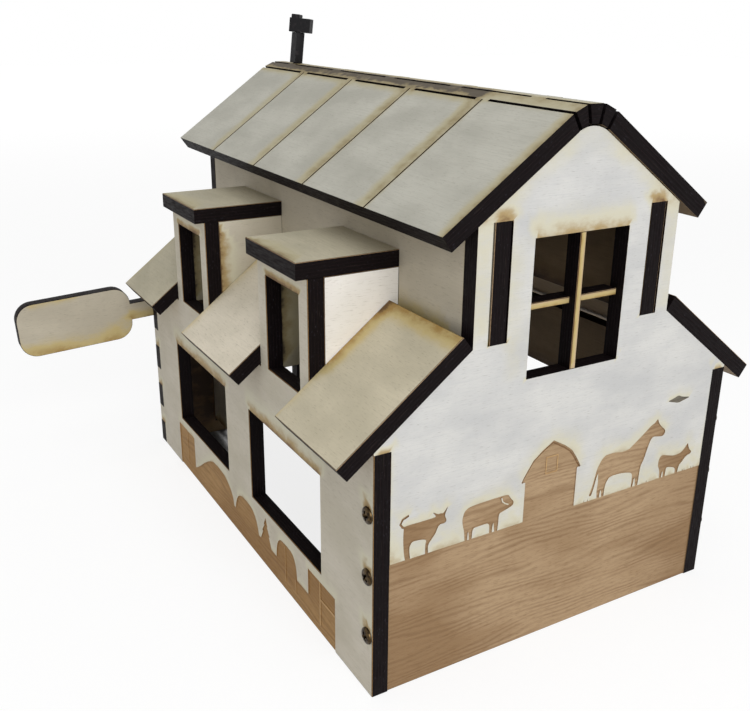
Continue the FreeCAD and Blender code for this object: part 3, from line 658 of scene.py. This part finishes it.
SMALL_BARN = [
    (-16.3, 46), (-16.3, 62.6), (-17.9, 62.8), (-17.2, 64.2), (-15.5, 66.9), (-13.4, 69.9), (-10, 72.6),
    (-5.3, 75.4), (0, 72.3), (3.1, 69.9), (5.2, 66.9), (6.8, 64.2), (7.5, 62.8), (6, 62.6), (6, 46),
]
SMALL_BARN_EAVES = [
    (-17.6, 62.6), (-16.6, 64.2), (-15, 66.7), (-12.9, 69.5), (-9.8, 71.8), (-5.3, 74.5), (-0.2, 71.5),
    (2.6, 69.4), (4.7, 66.6), (6.2, 64.2), (7.2, 62.6),
]
LOFT_DOOR = [[(x, 63.3), (x, 69.7)] for x in (-7.6, -2.8)]
LOFT_DOOR += [[(-7.5, z), (-2.9, z)] for z in (63.5, 69.5)]
GRASS_TUFTS = [[(x, 47), (x + 0.3, 48.7), (x + 0.7, 47)] for x in (10.4, 12, 40.2, 58.6, 59.6, 63.2, 64.4)]
VENEER_PLUG = [
    (46.6, 78.3), (50, 79.1), (51.8, 79.7), (54, 78.7), (58, 77.9), (54.5, 77.2), (52, 76.7), (49, 77.6),
]
TAIL_PEN = 0.8
PEN = 0.55
RAISED_PEN = 0.45


def on_gable(across, up, depth):
    """A place on the front gable, whose outer face is the plane y = 0."""
    return across * MM, depth * MM, up * MM


def engrave_gable(piece):
    """Cut the farm scene, its deeper lines and the seat of the veneer plug."""
    animals = [eased(outline) for outline in (COW, PIG, HORSE, HORSE_TAIL, FOAL)]
    tails = [ribbon(COW_TAIL, TAIL_PEN)] + GRASS_TUFTS
    ground = [block(-GROUND_HALF, GROUND_HALF, -CUTTER_RISE, GROUND_LINE)]
    figures = cutter("farm_scene", animals + tails + ground + [SMALL_BARN], on_gable, POCKET_DEPTH)
    raised = [ribbon(line, RAISED_PEN) for line in [PIG_EAR] + LOFT_DOOR]
    carve(figures, cutter("raised_lines", raised, on_gable, 2 * POCKET_DEPTH))
    carve(piece, figures)
    carve(piece, cutter("door_lines", raised[1:], on_gable, SLAT_DEPTH))
    carve(piece, cutter("barn_eaves", [ribbon(SMALL_BARN_EAVES, PEN)], on_gable, LINE_DEPTH))
    carve(piece, cutter("veneer_plug", [eased(VENEER_PLUG, 1)], on_gable, PLUG_DEPTH))


print("gable figures:", sum(len(f) for f in (COW, PIG, HORSE, FOAL, SMALL_BARN)), "points")

# %% [markdown]
# ## The farmyard on the long wall
#
# Under the ground windows a lower band runs along the wall: a crate, a barrel, a small pine, a rounded heap
# of hay, a hill and a stack of planks. The barrel and the hay come from a formula, half a squarish ellipse.

# %% Figures of the long wall
BAND_FOOT = -1.0
BAND_TOP = 10.8
ARCH_STEPS = 16


def arch(start, end, top, power):
    """A rounded heap between two places along the wall. More power makes it squarer."""
    middle, half = (start + end) / 2, (end - start) / 2
    outline = []
    for step in range(ARCH_STEPS + 1):
        angle = math.pi * step / ARCH_STEPS
        along = math.copysign(abs(math.cos(angle)) ** (2 / power), -math.cos(angle))
        rise = (top - BAND_FOOT) * math.sin(angle) ** (2 / power)
        outline.append((middle + half * along, BAND_FOOT + rise))
    return outline


BARREL = arch(55, 74, 20.6, 4.0)
HAY = arch(90, 116.5, 20.2, 3.0)
PINE = [
    (78.2, 10.5), (80.8, 15.2), (80, 15.4), (82.4, 18.8), (81.8, 19), (83.6, 22.4), (85.4, 19), (84.8, 18.8),
    (87.2, 15.4), (86.4, 15.2), (89, 10.5),
]
HILL = [
    (116.5, -1), (117.5, 13.5), (121, 17.5), (127, 20.4), (134, 21), (141, 20.8), (147, 18.4), (154, 14.2),
    (161, 9.2), (168, 5.4), (172, -1),
]
CRATE = block(25.2, 46, BAND_FOOT, 21.6)
PLANKS = block(166, 187, BAND_FOOT, 21.6)
LOW_WALL = block(25.2, 118, BAND_FOOT, BAND_TOP)
LOW_EDGE = block(118, 187, BAND_FOOT, 5.0)
BROAD_SLATS = [[(37, 2.9), (37, 21.2)], [(25.8, 14), (37, 14)]]
THIN_SLATS = [[(57, 4), (57, 10)], [(66, 4), (66, 19)], [(176.6, 4), (176.6, 20)]]
WALL_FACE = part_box("left_side_wall")[0].x


def on_long_wall(along, up, depth):
    """A place on the dormered wall, whose outer face looks to -X."""
    return WALL_FACE + depth * MM, along * MM, up * MM


def engrave_long_wall(piece):
    """Cut the farmyard, and keep the slats of the crate, the barrel and the planks raised."""
    shapes = [BARREL, HAY, CRATE, PLANKS, LOW_WALL, LOW_EDGE, PINE, eased(HILL)]
    figures = cutter("farmyard", shapes, on_long_wall, POCKET_DEPTH)
    slats = [ribbon(line, 2 * RAISED_PEN) for line in BROAD_SLATS]
    slats += [ribbon(line, RAISED_PEN) for line in THIN_SLATS]
    carve(figures, cutter("slats", slats, on_long_wall, 2 * POCKET_DEPTH))
    carve(piece, figures)
    carve(piece, cutter("slat_tops", slats, on_long_wall, SLAT_DEPTH))


print("wall figures:", len(PINE) + len(HILL), "points, a barrel and a heap of hay")

# %% [markdown]
# ## Ruling a grid and marking the surfaces
#
# Smoke marks fade within a few millimetres of a cut. To hold that fade, a sheet needs points in between its
# edges, so planes slice it into a fine grid. Then each face is told apart by the way it looks and by how deep
# it lies: outer side, inner side, engraved pocket, scored line, plug, slat or cut edge. The walls of a
# drilled hole count as cut edges, whichever way they look.

# %% Grid and face kinds
OUTER, INNER, CUT, POCKET, LINE, PLUG, SLAT = range(7)
DEEPEST_LINE = 1.0
KIND_AT_DEPTH = (
    (OUTER, PLUG_DEPTH), (PLUG, SLAT_DEPTH), (SLAT, POCKET_DEPTH), (POCKET, LINE_DEPTH), (LINE, DEEPEST_LINE)
)
UPRIGHT = 0.6
DEPTH_PLAY = 0.05
PITCH = 2.4 * MM
SNAP = 0.002 * MM


def rule_grid(sheet, facets, grain):
    """Slice the sheet along and across the grain."""
    normal = facets[len(facets) // 2][0]
    for direction in (grain, normal.cross(grain).normalized()):
        reach = [direction.dot(vertex.co) for vertex in sheet.verts]
        low, high = min(reach), max(reach)
        count = int((high - low) / PITCH)
        for step in range(1, count):
            level = low + (high - low) * step / count
            everything = sheet.verts[:] + sheet.edges[:] + sheet.faces[:]
            bmesh.ops.bisect_plane(
                sheet, geom=everything, dist=SNAP, plane_co=direction * level, plane_no=direction
            )


def face_kind(face, facets, thickness):
    """Which of the surfaces a face belongs to."""
    depth = depth_below(face.calc_center_median(), facets) / MM
    tilt = [face.normal.dot(normal) for normal, level in facets]
    if max(tilt) > FACING:
        for kind, limit in KIND_AT_DEPTH:
            if depth < limit - DEPTH_PLAY:
                return kind
        return CUT
    if min(tilt) < -FACING:
        return INNER if depth > thickness / MM - 2 * DEPTH_PLAY else CUT
    upright = max(abs(each) for each in tilt) < UPRIGHT
    return POCKET if upright and depth < LINE_DEPTH else CUT


print("surface kinds:", SLAT + 1)

# %% [markdown]
# ## Smoke marks
#
# Every arris beside a cut is a source of smoke. A KD tree finds the nearest source of any point quickly. The
# extraction of the laser draws the smoke one way across the bed, so one side of a cut is stained and the
# other stays almost clean: each sheet has its own draught. Engraving smokes less than cutting. Where smoke
# pooled, a stain is added: a line from one place of the sheet to another, a radius and a strength. Stains of
# the same kind also paint shade into the dark corner inside the rear gable.

# %% Write the grain and scorch attributes
SMOKE_REACH = {CUT: 1.3 * MM, POCKET: 1.0 * MM}
SMOKE_STRENGTH = {CUT: 1.0, POCKET: 0.5}
DRAUGHT_GAIN = 2.6
ASIDE = 0.16
NUDGE = 0.6 * MM
HEAVIEST_SMOKE = 1.4
FOOT = 1.0 * MM
PATTERN_STEP = 37.3


def smoke_sources(sheet, kinds):
    """Trees of the points along cut arrises and engraved outlines, each with its way into the sheet."""
    trees = {}
    for source in SMOKE_REACH:
        places, ways = [], []
        for edge in sheet.edges:
            touching = {kinds[face]: face.normal for face in edge.link_faces}
            side = touching.get(OUTER) or touching.get(INNER)
            standing = max(vertex.co.z for vertex in edge.verts) < FOOT
            if source in touching and side and not standing:
                inward = touching[source].dot(side) * side - touching[source]
                places += [vertex.co.copy() for vertex in edge.verts]
                ways += [inward.normalized()] * 2
        tree = kdtree.KDTree(len(places))
        for index, place in enumerate(places):
            tree.insert(place, index)
        tree.balance()
        trees[source] = tree, ways
    return trees


def beside(point, start, end):
    """Distance of a point from a straight line between two places."""
    run = end - start
    share = (point - start).dot(run) / run.length_squared
    return (point - start - run * max(0.0, min(1.0, share))).length


def smoke_at(point, trees, draught, smoke, stains):
    """How much smoke and painted shade a point took, from 0 for none to the heaviest stain."""
    total = 0.0
    for kind, (tree, ways) in trees.items():
        if ways:
            source, index, distance = tree.find(point)
            drawn = max((point - source + ways[index] * NUDGE).normalized().dot(draught), 0.0)
            reach = SMOKE_REACH[kind] * (1 + DRAUGHT_GAIN * drawn)
            strength = SMOKE_STRENGTH[kind] * (ASIDE + (1 - ASIDE) * drawn)
            total = max(total, strength * math.exp(-distance / reach))
    total *= smoke
    for start, end, radius, strength in stains:
        total += strength * math.exp(-(beside(point, start, end) / radius) ** 2)
    return min(total, HEAVIEST_SMOKE)


def write_attributes(sheet, kinds, facets, grain, draught, smoke, stains, number):
    """Store grain coordinates on the corners, and smoke with any painted shade on the points."""
    grain_layer = sheet.loops.layers.float_vector.new("grain")
    scorch_and_shade_layer = sheet.verts.layers.float.new("scorch_and_shade")
    trees = smoke_sources(sheet, kinds)
    marks = [(Vector(a) * MM, Vector(b) * MM, radius * MM, strength) for a, b, radius, strength in stains]
    for vertex in sheet.verts:
        vertex[scorch_and_shade_layer] = smoke_at(vertex.co, trees, draught, smoke, marks)
    shift = PATTERN_STEP * number
    for face in sheet.faces:
        normal = max(facets, key=lambda facet: abs(facet[0].dot(face.normal)))[0]
        cut = kinds[face] == CUT
        along = normal.cross(face.normal).normalized() if cut else grain
        across = normal.cross(grain).normalized()
        for loop in face.loops:
            point = loop.vert.co
            second = depth_below(point, facets) if cut else across.dot(point)
            loop[grain_layer] = (along.dot(point) / MM, second / MM, shift)


print("smoke reaches", SMOKE_REACH[CUT] / MM, "mm from a cut, and further along the draught")

# %% [markdown]
# ## Dressing a sheet
#
# One function does the whole job for a sheet, in the order a maker would follow: copy, ease, engrave, rule,
# mark. The new piece hides its CAD node and rides on the same body, so it moves with the joints. A sheet's
# finishes are listed in the order of the surface kinds: outer side, inner side, cut edge and so on. Where a
# list ends early, the usual finishes fill it up.

# %% The dressing function
USUAL_FINISHES = (side_face, smoked_and_shaded_inner_face, char_edge, pocket_wood, line_wood, plug_wood, slat_wood)
GABLE_FINISHES = (gable_face, smoked_and_shaded_inner_face, char_edge, pocket_wood, eave_wood)
WALL_FINISHES = (side_face, smoked_and_shaded_inner_face, char_edge, yard_wood)
BOARD_FINISHES = (side_face, side_face)
SHADED_LOFT_FINISHES = (shaded_loft_face,)
CHEEK_FINISHES = (pale_lit_cheek_face, side_face)
BAR_FINISHES = (bar_face, bar_face)
LEAN_FINISHES = (lean_face,)
LIT_LEAN_FINISHES = (lit_lean_face,)
ROOF_FINISHES = (roof_face, smoked_and_shaded_inner_face, char_edge, line_wood)
DORMER_FINISHES = (dormer_and_shaded_face, side_face)
# the far cheeks' inner sides wear the darker dormer birch, a painted shade
FAR_CHEEK_SHADED_FINISHES = (side_face, dormer_and_shaded_face)
SIGN_FINISHES = (shaded_loft_face, shaded_loft_face)
BODY_OF = {node: body for body, nodes in frame["record"]["behaviour"]["bodies"].items() for node in nodes}
dressed = {}


def coat(piece, *finishes):
    """Give a piece its finishes, in this order."""
    piece.data.materials.clear()
    for finish in finishes:
        piece.data.materials.append(finish)


def stand_for(piece, node):
    """Let the piece take the place of its CAD node."""
    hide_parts(node)
    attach(piece, BODY_OF[node])
    dressed[node] = piece


def dress_sheet(node, outward, grain, draught, finishes=WALL_FINISHES, smoke=1.0, engrave=None, stains=()):
    """Copy, ease, engrave, rule and mark one plywood sheet."""
    outward, grain, draught = Vector(outward), Vector(grain), Vector(draught)
    sheet = joined_copy(node)
    facets = outer_facets(sheet, outward)
    ease_edges(sheet, facets)
    piece = put_in_scene(node + "_ply", sheet)
    if engrave:
        engrave(piece)
    sheet = bmesh.new()
    sheet.from_mesh(piece.data)
    rule_grid(sheet, facets, grain)
    sheet.normal_update()
    thickness = max(depth_below(vertex.co, facets) for vertex in sheet.verts)
    kinds = {face: face_kind(face, facets, thickness) for face in sheet.faces}
    for face, kind in kinds.items():
        face.material_index = kind
    write_attributes(sheet, kinds, facets, grain, draught, smoke, stains, len(dressed))
    coat(piece, *finishes, *USUAL_FINISHES[len(finishes):])
    sheet.to_mesh(piece.data)
    sheet.free()
    stand_for(piece, node)


# %% [markdown]
# ## Gables and walls
#
# The four standing sheets come first. Their grain runs level, and the smoke was drawn upwards, which puts the
# widest marks over the windows.

# %% Dress the gables and walls
FRONT, REAR = (0, -1, 0), (0, 1, 0)
LEFT, RIGHT = (-1, 0, 0), (1, 0, 0)
ACROSS, ALONG = (1, 0, 0), (0, 1, 0)
SCREW_HEIGHTS = (22.0, 43.75, 65.5)
SCREW_INSET = 3.0
gable_stains = [
    ((-38, 0, 118), (-38, 0, 152), 3.5, 0.24),
    ((-25, 0, 104), (-25, 0, 142), 4.5, 0.18),
    ((-33, 0, 151.5), (-29, 0, 151.5), 1.6, 0.14),
    ((29, 0, 151.5), (33, 0, 151.5), 1.6, 0.2),
    ((-32, 0, 153), (-30, 0, 156), 6.0, 0.12),
    ((30, 0, 153), (32, 0, 154), 6.0, 0.14),
    ((-17, 0, 147.5), (17, 0, 147.5), 4.5, 0.1),
    ((38, 0, 116), (38, 0, 150), 3.0, 0.18),
    ((-38, 0, 152), (-10, 0, 170), 4.0, 0.16),
    ((12, 0, 169), (38, 0, 151), 4.0, 0.2),
    ((-8, 0, 172), (8, 0, 172), 7.0, 0.12),
    ((72, 0, 58), (72, 0, 84), 3.5, 0.22),
    ((-70, 0, 51), (66, 0, 51), 9.0, 0.2),
    ((-72, 0, 50), (-72, 0, 82), 6.0, 0.18),
    ((-14, 0, 66), (3, 0, 70), 8.0, 0.16),
    ((18, 0, 62), (46, 0, 68), 6.0, 0.12),
]
# dark stains inside the rear gable, left of the doorway: painted shade in the corner behind the open leaf
rear_corner_painted_shade = [((place, 207, 10), (place, 207, 70), 6.0, 2.2) for place in (-62, -51)]
wall_stains = [
    ((-74, SCREW_INSET, height + 1), (-74, SCREW_INSET, height + 6), 3.5, 0.25) for height in SCREW_HEIGHTS
]

dress_sheet("front_gable", FRONT, ACROSS, UP, GABLE_FINISHES, 0.66, engrave_gable, gable_stains)
dress_sheet("rear_gable", REAR, ACROSS, UP, GABLE_FINISHES, stains=rear_corner_painted_shade)
dress_sheet("left_side_wall", LEFT, ALONG, UP, engrave=engrave_long_wall, stains=wall_stains)
dress_sheet("right_side_wall", RIGHT, ALONG, UP)
for node, piece in dressed.items():
    print(node, len(piece.data.polygons), "faces")

# %% [markdown]
# ## Loft, dormers, window bars and sign
#
# The smaller boards follow the same recipe. The front dormer's near cheek is the palest board of the barn and
# took hardly any smoke. Its near white is partly that paler veneer and partly a painted light on the cheek.

# %% Dress the smaller boards
sign_stains = [
    ((-130, 218, 81), (-112, 218, 83), 3.0, 0.24),
    ((-135, 218, 60), (-118, 218, 58.5), 3.0, 0.14),
    ((-97, 218, 60), (-87, 218, 67), 4.0, 0.2),
]
# the loft rails and boards wear the darker birch, a painted shade from the roof above them
for side, outward in (("left", LEFT), ("right", RIGHT)):
    dress_sheet(f"{side}_loft_rail", outward, ALONG, UP, SHADED_LOFT_FINISHES)
    dress_sheet(f"{side}_loft_board", outward, ALONG, UP, SHADED_LOFT_FINISHES, 0.8)
for dormer, finishes, smoke in (("front", CHEEK_FINISHES, 0.1), ("rear", BOARD_FINISHES, 1.0)):
    dress_sheet(f"{dormer}_dormer_near_cheek", FRONT, ACROSS, RIGHT, finishes, smoke)
    dress_sheet(f"{dormer}_dormer_far_cheek", REAR, ACROSS, RIGHT, FAR_CHEEK_SHADED_FINISHES)
dress_sheet("window_bar_level", FRONT, ACROSS, UP, BAR_FINISHES, 0.6)
dress_sheet("window_bar_upright", FRONT, UP, RIGHT, BAR_FINISHES, 0.6)
dress_sheet("sign_board", REAR, ACROSS, UP, SIGN_FINISHES, 0.5, stains=sign_stains)
dress_sheet("left_door", RIGHT, UP, UP, BOARD_FINISHES)
dress_sheet("right_door", REAR, UP, UP, BOARD_FINISHES)
print(len(dressed), "pieces dressed so far")

# %% [markdown]
# ## Roofs
#
# The roof sheets are a duller birch. The front lean-to roof carries a broad tan band along its upper edge.
# The upper roof is one sheet, bent over the ridge along rows of slits, and scored into boards. Smoke lies
# behind the scored lines, most at the front, and the narrow strips of the ridge are toasted brown.

# %% Dress the roofs
DOWN_RIGHT = (0.76, 0, -0.65)
LEAN_LEFT, LEAN_RIGHT = (-0.65, 0, 0.76), (0.65, 0, 0.76)
SCORE_LINES = ((44.0, 0.44), (88.7, 0.44), (133.5, 0.36), (178.2, 0.26))
SMEAR_OFFSET = 3.0

lean_stains = [
    ((-43.8, 2, 118), (-43.8, 42, 118), 5.0, 0.66),
    ((-43.8, 42.5, 118), (-66, 42.5, 101), 5.0, 0.5),
]
roof_stains = [
    ((-52, -1, 149.5), (-10, -1, 179.5), 3.0, 0.45),
    ((-4, 0, 182), (-4, 46, 182.6), 4.5, 0.5),
    ((-4, 50, 182.6), (-4, 222, 184.5), 5.0, 1.25),
    ((43.5, 0, 136.1), (43.5, 60, 136.8), 9.0, 1.2),
]
for line, strength in SCORE_LINES:
    smear = line + SMEAR_OFFSET
    roof_stains.append(((-52, smear, 149.5), (-12, smear, 178.5), 3.5, strength))

dress_sheet("left_lean_to_front", LEAN_LEFT, ALONG, FRONT, LEAN_FINISHES, 0.2, stains=lean_stains)
# the middle sheet wears the paler copy of the lean-to birch, a painted light
dress_sheet("left_lean_to_middle", LEAN_LEFT, ALONG, FRONT, LIT_LEAN_FINISHES, 0.25)
# the rear lean-to sheet wears the darker dormer birch, a painted shade
dress_sheet("left_lean_to_rear", LEAN_LEFT, ALONG, FRONT, DORMER_FINISHES, 0.25)
dress_sheet("right_lean_to", LEAN_RIGHT, ALONG, DOWN_RIGHT, LEAN_FINISHES, 0.5)
for dormer in ("front", "rear"):
    dress_sheet(f"{dormer}_dormer_roof", UP, ALONG, RIGHT, DORMER_FINISHES, 0.8)
dress_sheet("upper_roof", UP, ALONG, REAR, ROOF_FINISHES, 0.25, stains=roof_stains)
print(len(dressed), "pieces dressed so far")

# %% [markdown]
# ## The painted vane
#
# The vane is black paint on wood. Paint is never one even black: it lies in brush strokes, with thinner spots
# between them. The copy's arrises are bevelled, which gives them a face to catch the light.

# %% Dress the vane
VANE_ROUND = 0.3 * MM
SHARP_ANGLE = math.radians(50)
STROKE_SCALE = 420.0


def even_noise(tree, scale, detail, roughness):
    """Noise that is the same in every direction of the piece."""
    place = add_node(tree, "TexCoord").outputs["Object"]
    noise = add_node(tree, "TexNoise", Vector=place, Scale=scale, Detail=detail, Roughness=roughness)
    return noise.outputs[0]


def brushed_paint(name, thick, thin):
    """Matte black paint with brush marks."""
    finish, tree, surface = start_finish(name)
    strokes = even_noise(tree, STROKE_SCALE, 4.0, 0.65)
    colour = mix(tree, fade(tree, strokes, 0.5, 0.75, 0.0, 0.8), thick, thin)
    rough = fade(tree, strokes, 0.3, 0.7, 0.5, 0.7)
    finish_surface(tree, surface, colour, rough, strokes, 0.1, shine=0.2)
    return finish


vane_paint = brushed_paint("black_paint", paint(20, 19, 21), paint(52, 48, 50))
for node in ("vane_post", "vane_head"):
    shape = joined_copy(node)
    sharp = [edge for edge in shape.edges if edge.calc_face_angle_signed(0.0) > SHARP_ANGLE]
    bmesh.ops.bevel(shape, geom=sharp, offset=VANE_ROUND, segments=2, profile=0.5, affect="EDGES")
    piece = put_in_scene(node + "_painted", shape)
    coat(piece, vane_paint)
    stand_for(piece, node)
print("vane round", VANE_ROUND / MM, "mm")

# %% [markdown]
# ## Screws and pins
#
# Six wood screws hold the front corners. A lathe profile turned about the screw's axis gives the head, the
# thread and the tip, and two crossed wedges cut the driver's recess into the head. The door's pivot pins are
# plain wire, so they keep their CAD shape and only get a metal finish.

# %% Metal finish
TARNISH_SCALE = 900.0


def worn_metal(name, bright, dull, roughness):
    """Metal with a cloudy tarnish."""
    finish, tree, surface = start_finish(name)
    tarnish = even_noise(tree, TARNISH_SCALE, 5.0, 0.6)
    colour = mix(tree, fade(tree, tarnish, 0.35, 0.65), bright, dull)
    rough = fade(tree, tarnish, 0.3, 0.7, roughness, roughness + 0.2)
    finish_surface(tree, surface, colour, rough, tarnish, 0.03)
    surface.inputs["Metallic"].default_value = 1.0
    return finish


screw_metal = worn_metal("aged_brass", paint(88, 72, 48), paint(38, 30, 23), 0.3)
pin_metal = worn_metal("drawn_wire", paint(186, 186, 188), paint(140, 140, 144), 0.25)
for index in range(len(frame["nodes"]["door_pins"].data.materials)):
    frame["nodes"]["door_pins"].data.materials[index] = pin_metal
print("metals:", screw_metal.name, pin_metal.name)

# %% Turn the screws
HEAD_RADIUS, HEAD_HEIGHT = 2.8, 1.3
RIM_SHARE, DOME_SHARE = 0.35, 0.65
DOME_STEPS = 6
RIM_RISE, RIM_ROUND = 0.1, 0.15
SHANK_RADIUS, CORE_RADIUS = 1.3, 1.05
SHANK_LENGTH, TIP_LENGTH = 16.0, 2.5
THREAD_START, THREAD_PITCH = 6.0, 1.25
TURN_STEPS = 28
RECESS_LONG, RECESS_WIDE, RECESS_DEEP = 3.9, 0.95, 1.2
RECESS_MOUTH, RECESS_FOOT = 1.05, 0.45
CLEAR_OF_HEAD = 0.5


def screw_profile():
    """Radius and height along the axis, from the crown down to the tip."""
    outline = []
    for step in range(1, DOME_STEPS + 1):
        angle = math.radians(90 / DOME_STEPS * step)
        height = HEAD_HEIGHT * (RIM_SHARE + DOME_SHARE * math.cos(angle))
        outline.append((HEAD_RADIUS * math.sin(angle), height))
    outline += [(HEAD_RADIUS, RIM_RISE), (HEAD_RADIUS - RIM_ROUND, 0.0), (CORE_RADIUS, 0.0)]
    height = -THREAD_START
    while height > -SHANK_LENGTH:
        outline += [(CORE_RADIUS, height), (SHANK_RADIUS, height - THREAD_PITCH / 2)]
        height -= THREAD_PITCH
    return outline + [(CORE_RADIUS, -SHANK_LENGTH)]


def turned_screw():
    """A screw along +Z, its seat at the origin."""
    shape = bmesh.new()
    rings = []
    for radius, height in screw_profile():
        turn = [2 * math.pi * step / TURN_STEPS for step in range(TURN_STEPS)]
        rings.append([
            shape.verts.new((radius * math.cos(a) * MM, radius * math.sin(a) * MM, height * MM)) for a in turn
        ])
    crown = shape.verts.new((0, 0, HEAD_HEIGHT * MM))
    point = shape.verts.new((0, 0, -(SHANK_LENGTH + TIP_LENGTH) * MM))
    for step in range(TURN_STEPS):
        shape.faces.new((crown, rings[0][step - 1], rings[0][step]))
        shape.faces.new((point, rings[-1][step], rings[-1][step - 1]))
        for upper, lower in zip(rings, rings[1:]):
            shape.faces.new((upper[step - 1], lower[step - 1], lower[step], upper[step]))
    bmesh.ops.recalc_face_normals(shape, faces=shape.faces)
    return put_in_scene("screw_blank", shape)


def recess_tool():
    """Two crossed wedges, narrower at the bottom."""
    shape = bmesh.new()
    for long, wide in ((RECESS_LONG, RECESS_WIDE), (RECESS_WIDE, RECESS_LONG)):
        rings = []
        levels = (RECESS_MOUTH, HEAD_HEIGHT + CLEAR_OF_HEAD), (RECESS_FOOT, HEAD_HEIGHT - RECESS_DEEP)
        for scale, height in levels:
            half_long = long / 2 * (scale if long > wide else 1) * MM
            half_wide = wide / 2 * (scale if wide > long else 1) * MM
            rings.append([shape.verts.new((x * half_long, y * half_wide, height * MM)) for x, y in SQUARE])
        shape.faces.new(rings[0])
        shape.faces.new(rings[1][::-1])
        for here in range(len(SQUARE)):
            shape.faces.new((rings[0][here - 1], rings[0][here], rings[1][here], rings[1][here - 1]))
    bmesh.ops.recalc_face_normals(shape, faces=shape.faces)
    return put_in_scene("recess_tool", shape)


blank = turned_screw()
carve(blank, recess_tool())
print("screw:", len(blank.data.polygons), "faces")

# %% Drive the screws into the corners
WALL_HALF = abs(WALL_FACE)
FIRST_ANGLE, NEXT_ANGLE = 25, 40
SMOOTH_ANGLE = math.radians(25)
screws = bmesh.new()
for side in (-1, 1):
    for number, height in enumerate(SCREW_HEIGHTS):
        place = Vector((side * WALL_HALF, SCREW_INSET * MM, height * MM))
        driven = Matrix.Rotation(math.radians(FIRST_ANGLE + NEXT_ANGLE * number), 4, "Z")
        facing = Matrix.Rotation(side * math.pi / 2, 4, "Y")
        one = blank.data.copy()
        one.transform(Matrix.Translation(place) @ facing @ driven)
        screws.from_mesh(one)
        bpy.data.meshes.remove(one)
bpy.data.objects.remove(blank)
piece = put_in_scene("corner_screws_turned", screws)
coat(piece, screw_metal)
piece.data.shade_smooth()
piece.data.set_sharp_from_angle(angle=SMOOTH_ANGLE)
stand_for(piece, "corner_screws")
print("six screws,", len(piece.data.polygons), "faces")
